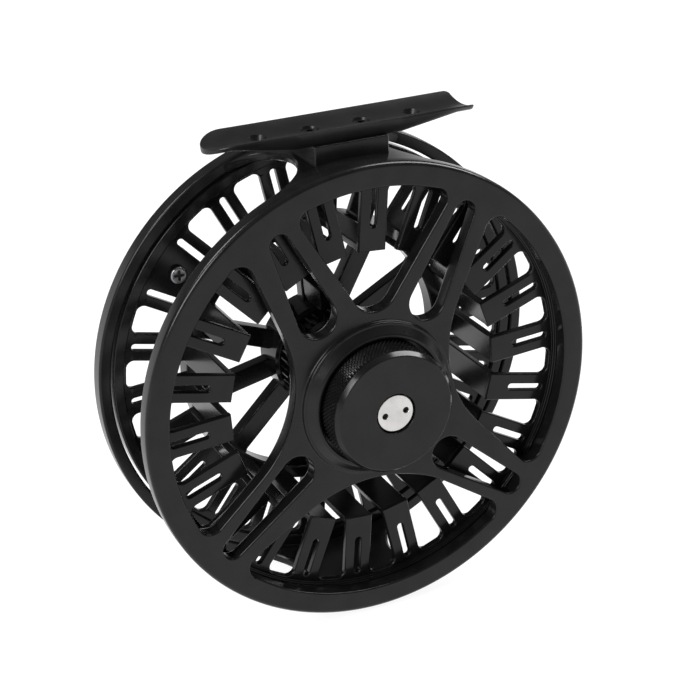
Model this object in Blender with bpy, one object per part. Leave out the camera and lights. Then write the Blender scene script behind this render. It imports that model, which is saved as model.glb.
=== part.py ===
"""Fly reel: windowed frame, skeleton spool and a side drag. Metres, +Z up.

The origin is in the middle of the foot's trough, where the rod sits. The spool turns about the
reel axis, which runs along Y below the origin, and the drag knob faces -Y.
"""
from math import acos, asin, atan2, cos, pi, radians, sin, sqrt, tan

import bmesh
import bpy
from mathutils import Vector

MM = 0.001

# Driving sizes
RING_R = 52.5 * MM                       # outer radius of the front ring
PLATE_T = 4.0 * MM                       # thickness of the front plate
BACK_RING_Y = (28.9 * MM, 32.9 * MM)     # front and back faces of the back ring
FLANGE_R = 49.6 * MM                     # outer radius of the spool's flanges
RIB_COUNT = 22
SPOKE_COUNT = 11
GEAR_TEETH = 40

# Where the origin lies, seen from the reel axis at the plate's front face
FOOT_EDGE_Z = 1.125 * RING_R             # height of the foot's long edges above the axis
TROUGH_DEPTH = 1.5 * MM
FOOT_Y = 14.0 * MM                       # the foot's centre line behind the front face
FOOT_SIZE = (59.8 * MM, 12.9 * MM)
FOOT_X = -1.1 * MM                       # the foot's middle, beside the reel axis
AXIS_DROP = FOOT_EDGE_Z - TROUGH_DEPTH

GAP = 0.3 * MM                           # kept between pieces that touch on the real reel
CIRCLE_STEPS = 40
INNER_STEPS = 24
SMALL_STEPS = 12

# Angles about the reel axis, in degrees, anticlockwise from +X as seen from the front
RIB_PITCH = 360.0 / RIB_COUNT
RIB_PHASE = 3.6
SPOKE_PITCH = 360.0 / SPOKE_COUNT
SPOKE_PHASE = RIB_PHASE + 1.5 * RIB_PITCH
WEIGHT_ANGLE = RIB_PHASE + 8.5 * RIB_PITCH
HANDLE_ANGLE = WEIGHT_ANGLE + 180.0
HANDLE_R = 0.786 * RING_R
PLUNGER_ANGLE = SPOKE_PHASE + 2.0 * SPOKE_PITCH
PLUNGER_Y = 23.7 * MM

# Radii and depths of the spool
ARBOR_R = (31.5 * MM, 33.1 * MM)
NEAR_LEG_Y = (5.4 * MM, 6.9 * MM)
FAR_LEG_Y = (29.7 * MM, 31.3 * MM)
RIB_WIDTH = 6.3 * MM
SLOT_R = (0.70 * RING_R, 0.87 * RING_R)
SLOT_WIDTH = 1.5 * MM
SPOKE_WIDTH = 4.6 * MM
SPOKE_Y = (30.6 * MM, 33.9 * MM)
HUB_R = (8.6 * MM, 12.3 * MM)
HUB_Y = (26.0 * MM, 36.0 * MM)

BLACK = ((0.022, 0.022, 0.024), 0.38, 0.6)
DARK_STEEL = ((0.10, 0.10, 0.11), 0.35, 1.0)
BRIGHT_STEEL = ((0.62, 0.62, 0.64), 0.25, 1.0)
BRASS = ((0.60, 0.43, 0.20), 0.35, 1.0)
CARBON = ((0.03, 0.03, 0.03), 0.7, 0.0)
RUBBER = ((0.015, 0.015, 0.015), 0.8, 0.0)


def clear_scene():
    for old in list(bpy.data.objects):
        bpy.data.objects.remove(old, do_unlink=True)


def make_material(name, finish):
    colour, roughness, metallic = finish
    material = bpy.data.materials.new(name)
    material.use_nodes = True
    shader = material.node_tree.nodes["Principled BSDF"]
    shader.inputs["Base Color"].default_value = (*colour, 1.0)
    shader.inputs["Roughness"].default_value = roughness
    shader.inputs["Metallic"].default_value = metallic
    return material


def polar(radius, degrees, y=0.0):
    """A point at this radius and angle about the Y axis."""
    turn = radians(degrees)
    return Vector((radius * cos(turn), y, radius * sin(turn)))


def flat(radius, degrees):
    """The same point in the plane of the plate, as (x, z)."""
    point = polar(radius, degrees)
    return Vector((point.x, point.z))


# Meshes

def add_object(name, mesh_builder, parent, location=(0.0, 0.0, 0.0)):
    mesh = bpy.data.meshes.new(name)
    bmesh.ops.recalc_face_normals(mesh_builder, faces=mesh_builder.faces)
    mesh_builder.to_mesh(mesh)
    mesh_builder.free()
    mesh.shade_smooth()
    mesh.set_sharp_from_angle(angle=radians(32))
    made = bpy.data.objects.new(name, mesh)
    bpy.context.scene.collection.objects.link(made)
    made.parent = parent
    made.location = location
    return made


def add_piece(name, mesh_builder, finish, parent, location=(0.0, 0.0, 0.0)):
    made = add_object(name, mesh_builder, parent, location)
    made.data.materials.append(make_material(name, finish))
    return made


def hide_tool(made):
    """Marks an operand of a Boolean, which isn't a piece of the reel."""
    made.hide_render = True
    made.display_type = 'WIRE'
    return made


def combine(target, operand, operation):
    hide_tool(operand)
    modifier = target.modifiers.new(operand.name, 'BOOLEAN')
    modifier.operation = operation
    modifier.solver = 'EXACT'
    modifier.object = operand


def lathe(profile, steps=CIRCLE_STEPS, centre=(0.0, 0.0), start=0.0, into=None):
    """Turns a closed outline of (radius, y) points about an axis along Y through centre (x, z).

    An outline whose first and last points have radius 0 is a solid of revolution with poles.
    """
    builder = into or bmesh.new()
    solid = profile[0][0] == 0.0
    rims = profile[1:-1] if solid else profile
    rings = []
    for step in range(steps):
        turn = start + 2.0 * pi * step / steps
        ring = [builder.verts.new((centre[0] + r * cos(turn), y, centre[1] + r * sin(turn)))
                for r, y in rims]
        rings.append(ring)
    count = len(rims)
    spans = count - 1 if solid else count
    for step in range(steps):
        here, there = rings[step], rings[(step + 1) % steps]
        for i in range(spans):
            k = (i + 1) % count
            builder.faces.new((here[i], here[k], there[k], there[i]))
    if solid:
        for pole, i in ((profile[0], 0), (profile[-1], count - 1)):
            tip = builder.verts.new((centre[0], pole[1], centre[1]))
            for step in range(steps):
                builder.faces.new((rings[step][i], rings[(step + 1) % steps][i], tip))
    return builder


def tube(inner, outer, y0, y1):
    return [(inner, y0), (outer, y0), (outer, y1), (inner, y1)]


def rod(radius, y0, y1):
    return [(0.0, y0), (radius, y0), (radius, y1), (0.0, y1)]


def plate(outlines, y0, y1):
    """Extrudes closed (x, z) outlines along Y: the first is the outside, the rest are holes."""
    builder = bmesh.new()
    for outline in outlines:
        corners = [builder.verts.new((p[0], y0, p[1])) for p in outline]
        for i, corner in enumerate(corners):
            builder.edges.new((corner, corners[(i + 1) % len(corners)]))
    bmesh.ops.triangle_fill(builder, use_beauty=True, use_dissolve=False, edges=builder.edges[:])
    extruded = bmesh.ops.extrude_face_region(builder, geom=builder.faces[:], use_keep_orig=True)
    moved = [item for item in extruded["geom"] if isinstance(item, bmesh.types.BMVert)]
    bmesh.ops.translate(builder, vec=(0.0, y1 - y0, 0.0), verts=moved)
    return builder


def prism(section, start, end, into=None):
    """A straight bar: section holds (a, b) points, start and end map each one to a place."""
    builder = into or bmesh.new()
    first = [builder.verts.new(start(a, b)) for a, b in section]
    last = [builder.verts.new(end(a, b)) for a, b in section]
    builder.faces.new(first)
    builder.faces.new(list(reversed(last)))
    for i in range(len(section)):
        k = (i + 1) % len(section)
        builder.faces.new((first[k], first[i], last[i], last[k]))
    return builder


def radial_bar(degrees, width, section, into=None):
    """A bar of constant width at an angle: section holds (radius, y) points."""
    out = polar(1.0, degrees)
    side = polar(1.0, degrees + 90.0)

    def place(r, y, s):
        return out * r + side * (s * width / 2.0) + Vector((0.0, y, 0.0))

    return prism(section, lambda r, y: place(r, y, -1.0), lambda r, y: place(r, y, 1.0), into)


# Outlines in the plane of the plate

def circle(radius, steps=CIRCLE_STEPS, centre=(0.0, 0.0)):
    return [Vector((centre[0] + radius * cos(2.0 * pi * i / steps),
                    centre[1] + radius * sin(2.0 * pi * i / steps))) for i in range(steps)]


def arc(centre, radius, start, end, steps):
    return [Vector((centre[0] + radius * cos(start + (end - start) * i / steps),
                    centre[1] + radius * sin(start + (end - start) * i / steps)))
            for i in range(steps + 1)]


def fillet(before, corner, after, radius, steps):
    """The arc that rounds a corner between its two neighbours."""
    u = (before - corner).normalized()
    v = (after - corner).normalized()
    half = acos(max(-1.0, min(1.0, u.dot(v)))) / 2.0
    centre = corner + (u + v).normalized() * (radius / sin(half))
    first = corner + u * (radius / tan(half)) - centre
    last = corner + v * (radius / tan(half)) - centre
    start = atan2(first.y, first.x)
    end = atan2(last.y, last.x)
    if end - start > pi:
        end -= 2.0 * pi
    if end - start < -pi:
        end += 2.0 * pi
    return arc(centre, radius, start, end, steps)


def big_window(high, low, tip, tip_radius, corner_radius):
    """A window between two arms: an outer arc from angle high to low and two sides to a tip."""
    reach = 0.90 * RING_R
    first, last = flat(reach, high), flat(reach, low)
    point = Vector(tip) * RING_R
    along_first = first + flat(0.3 * RING_R, high - 90.0)
    along_last = last + flat(0.3 * RING_R, low + 90.0)
    corner_first = fillet(point, first, along_first, corner_radius * RING_R, 3)
    corner_last = fillet(along_last, last, point, corner_radius * RING_R, 3)
    clear = corner_radius * 1.6 * RING_R
    rim = [flat(reach, high + (low - high) * i / 14) for i in range(15)]
    rim = [p for p in rim if (p - first).length > clear and (p - last).length > clear]
    return corner_first + rim + corner_last + fillet(last, point, first, tip_radius * RING_R, 8)


def teardrop(outer_tip, inner_tip, outer_radius, inner_radius):
    """The slot that splits an arm: two round ends of unlike size joined by straight sides."""
    outer, inner = Vector(outer_tip) * RING_R, Vector(inner_tip) * RING_R
    along = (inner - outer).normalized()
    small, large = outer_radius * RING_R, inner_radius * RING_R
    small_centre, large_centre = outer + along * small, inner - along * large
    lean = asin((large - small) / (large_centre - small_centre).length)
    heading = atan2(along.y, along.x)
    side = pi / 2.0 + lean
    small_end = arc(small_centre, small, heading + side, heading + 2.0 * pi - side, 4)
    return small_end + arc(large_centre, large, heading - side, heading + side, 5)


def arm_openings():
    windows = [
        big_window(111.5, 66.0, (0.0, 0.30), 0.10, 0.05),
        big_window(52.5, -35.0, (0.245, 0.03), 0.55, 0.06),
        big_window(-48.0, -135.0, (0.0, -0.262), 0.60, 0.06),
        big_window(211.5, 127.0, (-0.255, 0.0), 0.55, 0.06),
    ]
    slots = [
        teardrop((-0.41, 0.78), (-0.215, 0.325), 0.045, 0.085),
        teardrop((0.44, 0.77), (0.205, 0.305), 0.045, 0.08),
        teardrop((0.675, -0.595), (0.27, -0.295), 0.047, 0.075),
        teardrop((-0.70, -0.56), (-0.31, -0.21), 0.045, 0.075),
    ]
    return windows + slots


# Frame

COLLAR_R = (14.5 * MM, 17.4 * MM)
COLLAR_RISE = 2.2 * MM
PLATE_BORE_R = 9.0 * MM
SEAT_Y = 4.6 * MM                        # back face of the plate's hub
BRIDGE_R = (50.3 * MM, 52.2 * MM)
STEM_X = (-8.9 * MM, 8.1 * MM)
STEM_Y = (7.5 * MM, 20.5 * MM)
STEM_TOP = 55.2 * MM
HOUSING_SCREW_R = 11.8 * MM
THRUST_PIN_R = 6.0 * MM
SCREW_ANGLES = (30.0, 150.0, 270.0)
PIN_ANGLES = (90.0, 210.0, 330.0)
FOOT_SCREW_X = (FOOT_X - 5.9 * MM, FOOT_X + 5.9 * MM)
FOOT_HOLE_X = (FOOT_X - 17.7 * MM, FOOT_X + 17.7 * MM)
FOOT_LEVEL_X = (STEM_X[0] - 3.5 * MM, STEM_X[1] + 3.5 * MM)   # beyond these the underside rises to the tips


def bridge(middle, waist):
    """A curved wall between the rings, narrow in the middle and flared to both of them.

    Its ends run straight into the rings, so that a Boolean joins them along clean edges.
    """
    columns, bands = 9, 10
    flare = (BACK_RING_Y[0] - PLATE_T) / 2.0
    y_middle = PLATE_T + flare
    reach = 0.99 * flare
    levels = [PLATE_T - 1.5 * MM]
    levels += [y_middle - reach * cos(pi * band / bands) for band in range(bands + 1)]
    levels += [BACK_RING_Y[0] + 1.5 * MM]
    builder = bmesh.new()
    shells = []
    for radius in BRIDGE_R:
        shell = []
        for y in levels:
            off = min(abs(y - y_middle), reach)
            half = degrees_of(waist + flare - sqrt(flare * flare - off * off))
            shell.append([builder.verts.new(polar(radius, middle + half * (2.0 * c / columns - 1.0), y))
                          for c in range(columns + 1)])
        shells.append(shell)
    inside, outside = shells
    for row in range(len(levels) - 1):
        for c in range(columns):
            for shell in shells:
                builder.faces.new((shell[row][c], shell[row][c + 1],
                                   shell[row + 1][c + 1], shell[row + 1][c]))
        for c in (0, columns):
            builder.faces.new((inside[row][c], inside[row + 1][c], outside[row + 1][c], outside[row][c]))
    for row in (0, len(levels) - 1):
        for c in range(columns):
            builder.faces.new((inside[row][c], inside[row][c + 1],
                               outside[row][c + 1], outside[row][c]))
    return builder


def degrees_of(arc_length):
    return arc_length / BRIDGE_R[1] * 180.0 / pi


def make_frame(axis):
    plate_outlines = [circle(RING_R, 72)] + arm_openings() + [circle(15.8 * MM)]
    frame = add_piece("frame", plate(plate_outlines, 0.0, PLATE_T), BLACK, axis)
    collar = [(PLATE_BORE_R, 1.0 * MM), (COLLAR_R[0], 1.0 * MM), (COLLAR_R[0], -1.8 * MM),
              (14.9 * MM, -COLLAR_RISE), (15.6 * MM, -COLLAR_RISE), (COLLAR_R[1], -0.4 * MM),
              (COLLAR_R[1], SEAT_Y), (PLATE_BORE_R, SEAT_Y)]
    combine(frame, add_object("frame_collar", lathe(collar), axis), 'UNION')
    back = lathe(tube(50.1 * MM, 52.9 * MM, *BACK_RING_Y), 72)
    combine(frame, add_object("frame_back_ring", back, axis), 'UNION')
    combine(frame, add_object("frame_top_bridge", bridge(90.0, 10.5 * MM), axis), 'UNION')
    combine(frame, add_object("frame_bottom_bridge", bridge(270.0, 11.4 * MM), axis), 'UNION')
    box = [(STEM_X[0], 51.0 * MM), (STEM_X[1], 51.0 * MM), (STEM_X[1], STEM_TOP), (STEM_X[0], STEM_TOP)]
    stem = prism(box, lambda x, z: (x, STEM_Y[0], z), lambda x, z: (x, STEM_Y[1], z))
    combine(frame, add_object("frame_stem", stem, axis), 'UNION')
    holes = bmesh.new()
    for angle in SCREW_ANGLES:
        at = flat(HOUSING_SCREW_R, angle)
        countersink = [(0.0, -1.0 * MM), (2.0 * MM, -1.0 * MM), (2.0 * MM, 1.6 * MM),
                       (1.2 * MM, 2.6 * MM), (1.2 * MM, 8.0 * MM), (0.0, 8.0 * MM)]
        lathe(countersink, SMALL_STEPS, at, into=holes)
    combine(frame, add_object("frame_screw_holes", holes, axis), 'DIFFERENCE')
    threads = bmesh.new()
    for x in FOOT_SCREW_X:
        upright_bar(x, 1.1 * MM, 52.6 * MM, 57.0 * MM, threads)
    combine(frame, add_object("frame_foot_holes", threads, axis), 'DIFFERENCE')
    return frame


def upright_bar(x, radius, z0, z1, into, top_radius=None):
    """A round bar along Z at the foot's centre line, wider at the top if top_radius is given."""
    wide = top_radius or radius
    rings = []
    for z, r in ((z0, radius), (z1, wide)):
        rings.append([into.verts.new((x + side.x * r, FOOT_Y + side.y * r, z))
                      for side in circle(1.0, SMALL_STEPS)])
    into.faces.new(rings[0])
    into.faces.new(list(reversed(rings[1])))
    for i in range(SMALL_STEPS):
        k = (i + 1) % SMALL_STEPS
        into.faces.new((rings[0][k], rings[0][i], rings[1][i], rings[1][k]))


# Foot

SCREW_TOP = FOOT_EDGE_Z - TROUGH_DEPTH - 0.3 * MM


def trough_height(y_off):
    """Height of the trough's surface beside its centre line."""
    half = FOOT_SIZE[1] / 2.0
    radius = (half * half + TROUGH_DEPTH * TROUGH_DEPTH) / (2.0 * TROUGH_DEPTH)
    return FOOT_EDGE_Z - TROUGH_DEPTH + radius - sqrt(radius * radius - y_off * y_off)


def make_foot(axis):
    length, width = FOOT_SIZE
    left, right = FOOT_X - length / 2.0, FOOT_X + length / 2.0
    underside = STEM_TOP + GAP
    ramp = (FOOT_EDGE_Z - 0.9 * MM - underside)
    thinnest = 1.2 * MM
    columns = 10
    left_round = width / 2.0
    stations = [left + left_round * (1.0 - cos(pi / 2.0 * i / 6)) for i in range(7)]
    stations[0] = left + 0.15 * MM
    stations += [FOOT_LEVEL_X[0], 0.0, FOOT_LEVEL_X[1], right - 9.0 * MM, right - 1.0 * MM, right]
    builder = bmesh.new()
    tops, bottoms = [], []
    for x in stations:
        into_round = max(0.0, 1.0 - (x - left) / left_round)
        half = width / 2.0 * sqrt(max(0.0, 1.0 - into_round * into_round))
        if x == right:
            half -= 0.7 * MM
        if x < 0.0:
            lift = ramp * max(0.0, (FOOT_LEVEL_X[0] - x) / (FOOT_LEVEL_X[0] - left))
        else:
            lift = ramp * max(0.0, (x - FOOT_LEVEL_X[1]) / (right - FOOT_LEVEL_X[1]))
        tops.append([])
        bottoms.append([])
        for c in range(columns + 1):
            off = half * (2.0 * c / columns - 1.0)
            top = trough_height(off)
            bottom = min(underside + lift, top - thinnest)
            tops[-1].append(builder.verts.new((x, FOOT_Y + off, top)))
            bottoms[-1].append(builder.verts.new((x, FOOT_Y + off, bottom)))
    for i in range(len(stations) - 1):
        for c in range(columns):
            for sheet in (tops, bottoms):
                builder.faces.new((sheet[i][c], sheet[i][c + 1], sheet[i + 1][c + 1], sheet[i + 1][c]))
        for c in (0, columns):
            builder.faces.new((tops[i][c], tops[i + 1][c], bottoms[i + 1][c], bottoms[i][c]))
    for i in (0, len(stations) - 1):
        for c in range(columns):
            builder.faces.new((tops[i][c], tops[i][c + 1], bottoms[i][c + 1], bottoms[i][c]))
    foot = add_piece("reel_foot", builder, BLACK, axis)
    holes = bmesh.new()
    sinks = bmesh.new()
    for x in FOOT_SCREW_X + FOOT_HOLE_X:
        upright_bar(x, 1.2 * MM, 50.0 * MM, 62.0 * MM, holes)
        upright_bar(x, 0.7 * MM, SCREW_TOP - 1.4 * MM, SCREW_TOP + 0.9 * MM, sinks, 2.6 * MM)
    combine(foot, add_object("foot_holes", holes, axis), 'DIFFERENCE')
    combine(foot, add_object("foot_countersinks", sinks, axis), 'DIFFERENCE')
    for number, x in enumerate(FOOT_SCREW_X, 1):
        make_upright_screw(f"foot_screw_{number}", axis, x)
    return foot


def make_upright_screw(name, axis, x):
    """A countersunk screw pointing down, its origin at its head's top."""
    builder = bmesh.new()
    sections = ((1.55 * MM, SCREW_TOP), (0.85 * MM, SCREW_TOP - 0.8 * MM), (0.85 * MM, 53.0 * MM))
    rings = []
    for radius, z in sections:
        rings.append([builder.verts.new((side.x * radius, side.y * radius, z - SCREW_TOP))
                      for side in circle(1.0, SMALL_STEPS)])
    builder.faces.new(rings[0])
    builder.faces.new(list(reversed(rings[-1])))
    for upper, lower in zip(rings, rings[1:]):
        for i in range(SMALL_STEPS):
            k = (i + 1) % SMALL_STEPS
            builder.faces.new((upper[i], upper[k], lower[k], lower[i]))
    return add_piece(name, builder, DARK_STEEL, axis, (x, FOOT_Y, SCREW_TOP))


# Drag

def make_housing(axis):
    body = [(3.3 * MM, 1.3 * MM), (8.7 * MM, 1.3 * MM), (8.7 * MM, 4.9 * MM), (14.0 * MM, 4.9 * MM),
            (14.0 * MM, 7.3 * MM), (12.0 * MM, 7.3 * MM), (12.0 * MM, 19.6 * MM), (10.7 * MM, 19.6 * MM),
            (10.7 * MM, 7.8 * MM), (3.3 * MM, 7.8 * MM)]
    housing = add_piece("drag_housing", lathe(body, INNER_STEPS), BLACK, axis)
    holes = bmesh.new()
    for angle in PIN_ANGLES:
        lathe(rod(1.2 * MM, 0.0, 9.5 * MM), SMALL_STEPS, flat(THRUST_PIN_R, angle), into=holes)
    for angle in SCREW_ANGLES:
        lathe(rod(1.15 * MM, 4.0 * MM, 7.5 * MM), SMALL_STEPS, flat(HOUSING_SCREW_R, angle), into=holes)
    combine(housing, add_object("housing_holes", holes, axis), 'DIFFERENCE')
    for number, angle in enumerate(SCREW_ANGLES, 1):
        screw = [(0.0, 0.0), (1.65 * MM, 0.0), (1.65 * MM, 0.2 * MM), (0.85 * MM, 1.1 * MM),
                 (0.85 * MM, 5.4 * MM), (0.0, 5.4 * MM)]
        place = polar(HOUSING_SCREW_R, angle, 1.3 * MM)
        add_piece(f"housing_screw_{number}", lathe(screw, SMALL_STEPS), DARK_STEEL, axis, place)
    cover = [(5.7 * MM, 16.2 * MM), (10.4 * MM, 16.2 * MM), (10.4 * MM, 19.2 * MM), (7.6 * MM, 19.2 * MM),
             (7.6 * MM, 17.2 * MM), (5.7 * MM, 17.2 * MM)]
    add_piece("housing_cover", lathe(cover, INNER_STEPS), BLACK, axis)
    seal = lathe(tube(5.3 * MM, 7.3 * MM, 17.5 * MM, 18.9 * MM), INNER_STEPS)
    add_piece("shaft_seal", seal, RUBBER, axis)
    spindle = [(0.0, -7.1 * MM), (2.6 * MM, -7.1 * MM), (3.0 * MM, -6.7 * MM), (3.0 * MM, 37.6 * MM),
               (2.6 * MM, 38.0 * MM), (0.0, 38.0 * MM)]
    add_piece("spindle", lathe(spindle, INNER_STEPS), BRIGHT_STEEL, axis)


def make_drag(axis):
    for number, angle in enumerate(PIN_ANGLES, 1):
        pin = lathe(rod(0.85 * MM, 0.0, 8.5 * MM), SMALL_STEPS)
        add_piece(f"thrust_pin_{number}", pin, BRIGHT_STEEL, axis, polar(THRUST_PIN_R, angle, 0.35 * MM))
    cone = [(4.2 * MM, 9.3 * MM), (9.8 * MM, 10.3 * MM), (9.8 * MM, 10.8 * MM), (4.2 * MM, 9.8 * MM)]
    add_piece("disc_spring", lathe(cone, INNER_STEPS), BRIGHT_STEEL, axis)
    presser = lathe(tube(3.5 * MM, 10.2 * MM, 11.1 * MM, 12.2 * MM), INNER_STEPS)
    add_piece("pressure_plate", presser, DARK_STEEL, axis)
    for name, y0, y1 in (("friction_disc_front", 12.6, 13.1), ("friction_disc_rear", 14.9, 15.6)):
        disc = lathe(tube(5.3 * MM, 10.2 * MM, y0 * MM, y1 * MM), INNER_STEPS)
        add_piece(name, disc, CARBON, axis)
    rotor = [(3.3 * MM, 12.6 * MM), (5.0 * MM, 12.6 * MM), (5.0 * MM, 13.4 * MM), (10.2 * MM, 13.4 * MM),
             (10.2 * MM, 14.6 * MM), (5.0 * MM, 14.6 * MM), (5.0 * MM, 32.6 * MM), (3.3 * MM, 32.6 * MM)]
    add_piece("drag_rotor", lathe(rotor, INNER_STEPS), BRIGHT_STEEL, axis)
    teeth = []
    for tooth in range(GEAR_TEETH):
        angle = PLUNGER_ANGLE + 360.0 / GEAR_TEETH * (tooth + 0.5)
        teeth.append(flat(11.5 * MM, angle))
        teeth.append(flat(10.6 * MM, angle + 180.0 / GEAR_TEETH))
    gear = plate([teeth, circle(5.3 * MM, INNER_STEPS)], 22.0 * MM, 25.4 * MM)
    add_piece("click_gear", gear, DARK_STEEL, axis)


def make_knob(axis):
    body = [(3.4 * MM, -0.1 * MM), (8.5 * MM, -0.1 * MM), (8.5 * MM, -6.5 * MM), (12.4 * MM, -6.5 * MM),
            (12.4 * MM, 0.3 * MM), (13.9 * MM, 0.3 * MM), (13.9 * MM, -8.4 * MM), (13.1 * MM, -9.2 * MM),
            (4.6 * MM, -9.2 * MM), (4.6 * MM, -7.4 * MM), (3.4 * MM, -7.4 * MM)]
    add_piece("drag_knob", lathe(body), BLACK, axis)
    disc = lathe(rod(4.25 * MM, -9.25 * MM, -7.75 * MM), INNER_STEPS)
    cap = add_piece("knob_cap", disc, BRIGHT_STEEL, axis)
    holes = bmesh.new()
    for angle in (5.0, 185.0):
        lathe(rod(0.65 * MM, -9.8 * MM, -8.4 * MM), SMALL_STEPS, flat(2.6 * MM, angle), into=holes)
    combine(cap, add_object("spanner_holes", holes, axis), 'DIFFERENCE')


# Spool

def make_spool(axis):
    near_rim = [(46.4 * MM, 5.3 * MM), (48.2 * MM, 5.3 * MM), (48.2 * MM, 4.8 * MM),
                (FLANGE_R, 4.8 * MM), (FLANGE_R, 7.2 * MM), (46.4 * MM, 7.0 * MM)]
    spool = add_piece("spool", lathe(near_rim, 66), BLACK, axis)
    far_rim = [(46.4 * MM, 29.6 * MM), (48.2 * MM, 29.6 * MM), (FLANGE_R, 29.3 * MM),
               (FLANGE_R, 32.9 * MM), (48.2 * MM, 32.9 * MM), (48.2 * MM, 31.4 * MM), (46.4 * MM, 31.4 * MM)]
    combine(spool, add_object("spool_far_rim", lathe(far_rim, 66), axis), 'UNION')
    reach = 47.4 * MM
    u_section = [(ARBOR_R[0], NEAR_LEG_Y[0]), (reach, NEAR_LEG_Y[0]), (reach, NEAR_LEG_Y[1]),
                 (ARBOR_R[1], NEAR_LEG_Y[1]), (ARBOR_R[1], FAR_LEG_Y[0]), (reach, FAR_LEG_Y[0]),
                 (reach, FAR_LEG_Y[1]), (ARBOR_R[0], FAR_LEG_Y[1])]
    ribs = bmesh.new()
    for rib in range(RIB_COUNT):
        radial_bar(RIB_PHASE + rib * RIB_PITCH, RIB_WIDTH, u_section, ribs)
    combine(spool, add_object("spool_ribs", ribs, axis), 'UNION')
    arbor_ring = lathe(tube(29.4 * MM, 32.4 * MM, 29.5 * MM, 34.1 * MM), 66)
    combine(spool, add_object("spool_arbor_ring", arbor_ring, axis), 'UNION')
    spokes = bmesh.new()
    spoke = [(HUB_R[1] - 1.2 * MM, SPOKE_Y[0]), (30.4 * MM, SPOKE_Y[0]),
             (30.4 * MM, SPOKE_Y[1]), (HUB_R[1] - 1.2 * MM, SPOKE_Y[1])]
    for number in range(SPOKE_COUNT):
        radial_bar(SPOKE_PHASE + number * SPOKE_PITCH, SPOKE_WIDTH, spoke, spokes)
    combine(spool, add_object("spool_spokes", spokes, axis), 'UNION')
    combine(spool, add_object("spool_hub", lathe(tube(*HUB_R, *HUB_Y), INNER_STEPS), axis), 'UNION')
    pads = bmesh.new()
    pad = [(32.6 * MM, 29.8 * MM), (reach, 29.8 * MM), (reach, 31.2 * MM), (32.6 * MM, 31.2 * MM)]
    for angle in (HANDLE_ANGLE, WEIGHT_ANGLE):
        radial_bar(angle, 9.0 * MM, pad, pads)
    combine(spool, add_object("spool_pads", pads, axis), 'UNION')
    slots = bmesh.new()
    slot = [(SLOT_R[0], 0.0), (SLOT_R[1], 0.0), (SLOT_R[1], 40.0 * MM), (SLOT_R[0], 40.0 * MM)]
    for rib in range(RIB_COUNT):
        radial_bar(RIB_PHASE + rib * RIB_PITCH, SLOT_WIDTH, slot, slots)
    combine(spool, add_object("spool_slots", slots, axis), 'DIFFERENCE')
    holes = bmesh.new()
    for angle in (HANDLE_ANGLE, WEIGHT_ANGLE):
        lathe(rod(1.5 * MM, 25.0 * MM, 40.0 * MM), SMALL_STEPS, flat(HANDLE_R, angle), into=holes)
    combine(spool, add_object("spool_screw_holes", holes, axis), 'DIFFERENCE')


def bearing(inner, outer, y0, y1):
    """Both races and the shield between them, as one turned ring with a groove in each face."""
    shoulder = (outer - inner) * 0.28
    dip = 0.25 * MM
    return [(inner, y0), (inner + shoulder, y0), (inner + shoulder, y0 + dip), (outer - shoulder, y0 + dip),
            (outer - shoulder, y0), (outer, y0), (outer, y1), (outer - shoulder, y1),
            (outer - shoulder, y1 - dip), (inner + shoulder, y1 - dip), (inner + shoulder, y1), (inner, y1)]


def make_hub_parts(axis):
    rings = (("front_bearing", 5.3, 26.3, 28.1), ("one_way_clutch", 5.3, 28.4, 32.4),
             ("rear_bearing", 3.3, 33.0, 35.7))
    for name, inner, y0, y1 in rings:
        profile = bearing(inner * MM, 8.3 * MM, y0 * MM, y1 * MM)
        add_piece(name, lathe(profile, INNER_STEPS), BRIGHT_STEEL, axis)
    cap = [(0.0, 38.4 * MM), (3.4 * MM, 38.4 * MM), (3.4 * MM, 36.3 * MM), (8.6 * MM, 36.3 * MM),
           (8.6 * MM, 38.8 * MM), (7.8 * MM, 39.6 * MM), (0.0, 39.6 * MM)]
    add_piece("spool_cap", lathe(cap, INNER_STEPS), BLACK, axis)


def make_clicker(axis):
    """The block on one spoke, with a plunger that clicks over the gear and its coil spring."""
    out, side = polar(1.0, PLUNGER_ANGLE), polar(1.0, PLUNGER_ANGLE + 90.0)
    base = out * (12.9 * MM) + Vector((0.0, PLUNGER_Y, 0.0))
    block = bmesh.new()
    outline = [(0.0, -2.2), (5.2, -2.2), (5.2, 6.6), (1.6, 6.6), (0.0, 5.0)]

    def place(a, b, s):
        return base + out * (a * MM) + Vector((0.0, b * MM, 0.0)) + side * (s * MM)

    prism(outline, lambda a, b: place(a, b, -2.0), lambda a, b: place(a, b, 2.0), block)
    piece = add_piece("plunger_block", block, BLACK, axis)
    bore = bmesh.new()
    turned_along(bore, base, out, side, [(1.15, -1.0), (1.15, 3.9)])
    combine(piece, add_object("plunger_bore", bore, axis), 'DIFFERENCE')
    plunger = bmesh.new()
    turned_along(plunger, Vector(), out, side, [(0.25, -1.3), (0.75, -0.8), (0.75, 1.0)])
    add_piece("click_plunger", plunger, BRIGHT_STEEL, axis, base)
    spring = coil(base, out, side, 0.75 * MM, 0.12 * MM, 1.5 * MM, 3.4 * MM, 3)
    add_piece("plunger_spring", spring, BRIGHT_STEEL, axis)


def turned_along(builder, base, along, side, sections):
    """A round bar along a direction: sections holds (radius, distance) in millimetres."""
    up = along.cross(side)
    rings = []
    for radius, distance in sections:
        ring = []
        for i in range(12):
            turn = 2.0 * pi * i / 12
            spread = side * cos(turn) + up * sin(turn)
            ring.append(builder.verts.new(base + along * (distance * MM) + spread * (radius * MM)))
        rings.append(ring)
    builder.faces.new(rings[0])
    builder.faces.new(list(reversed(rings[-1])))
    for low, high in zip(rings, rings[1:]):
        for i in range(12):
            k = (i + 1) % 12
            builder.faces.new((low[i], high[i], high[k], low[k]))


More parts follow.
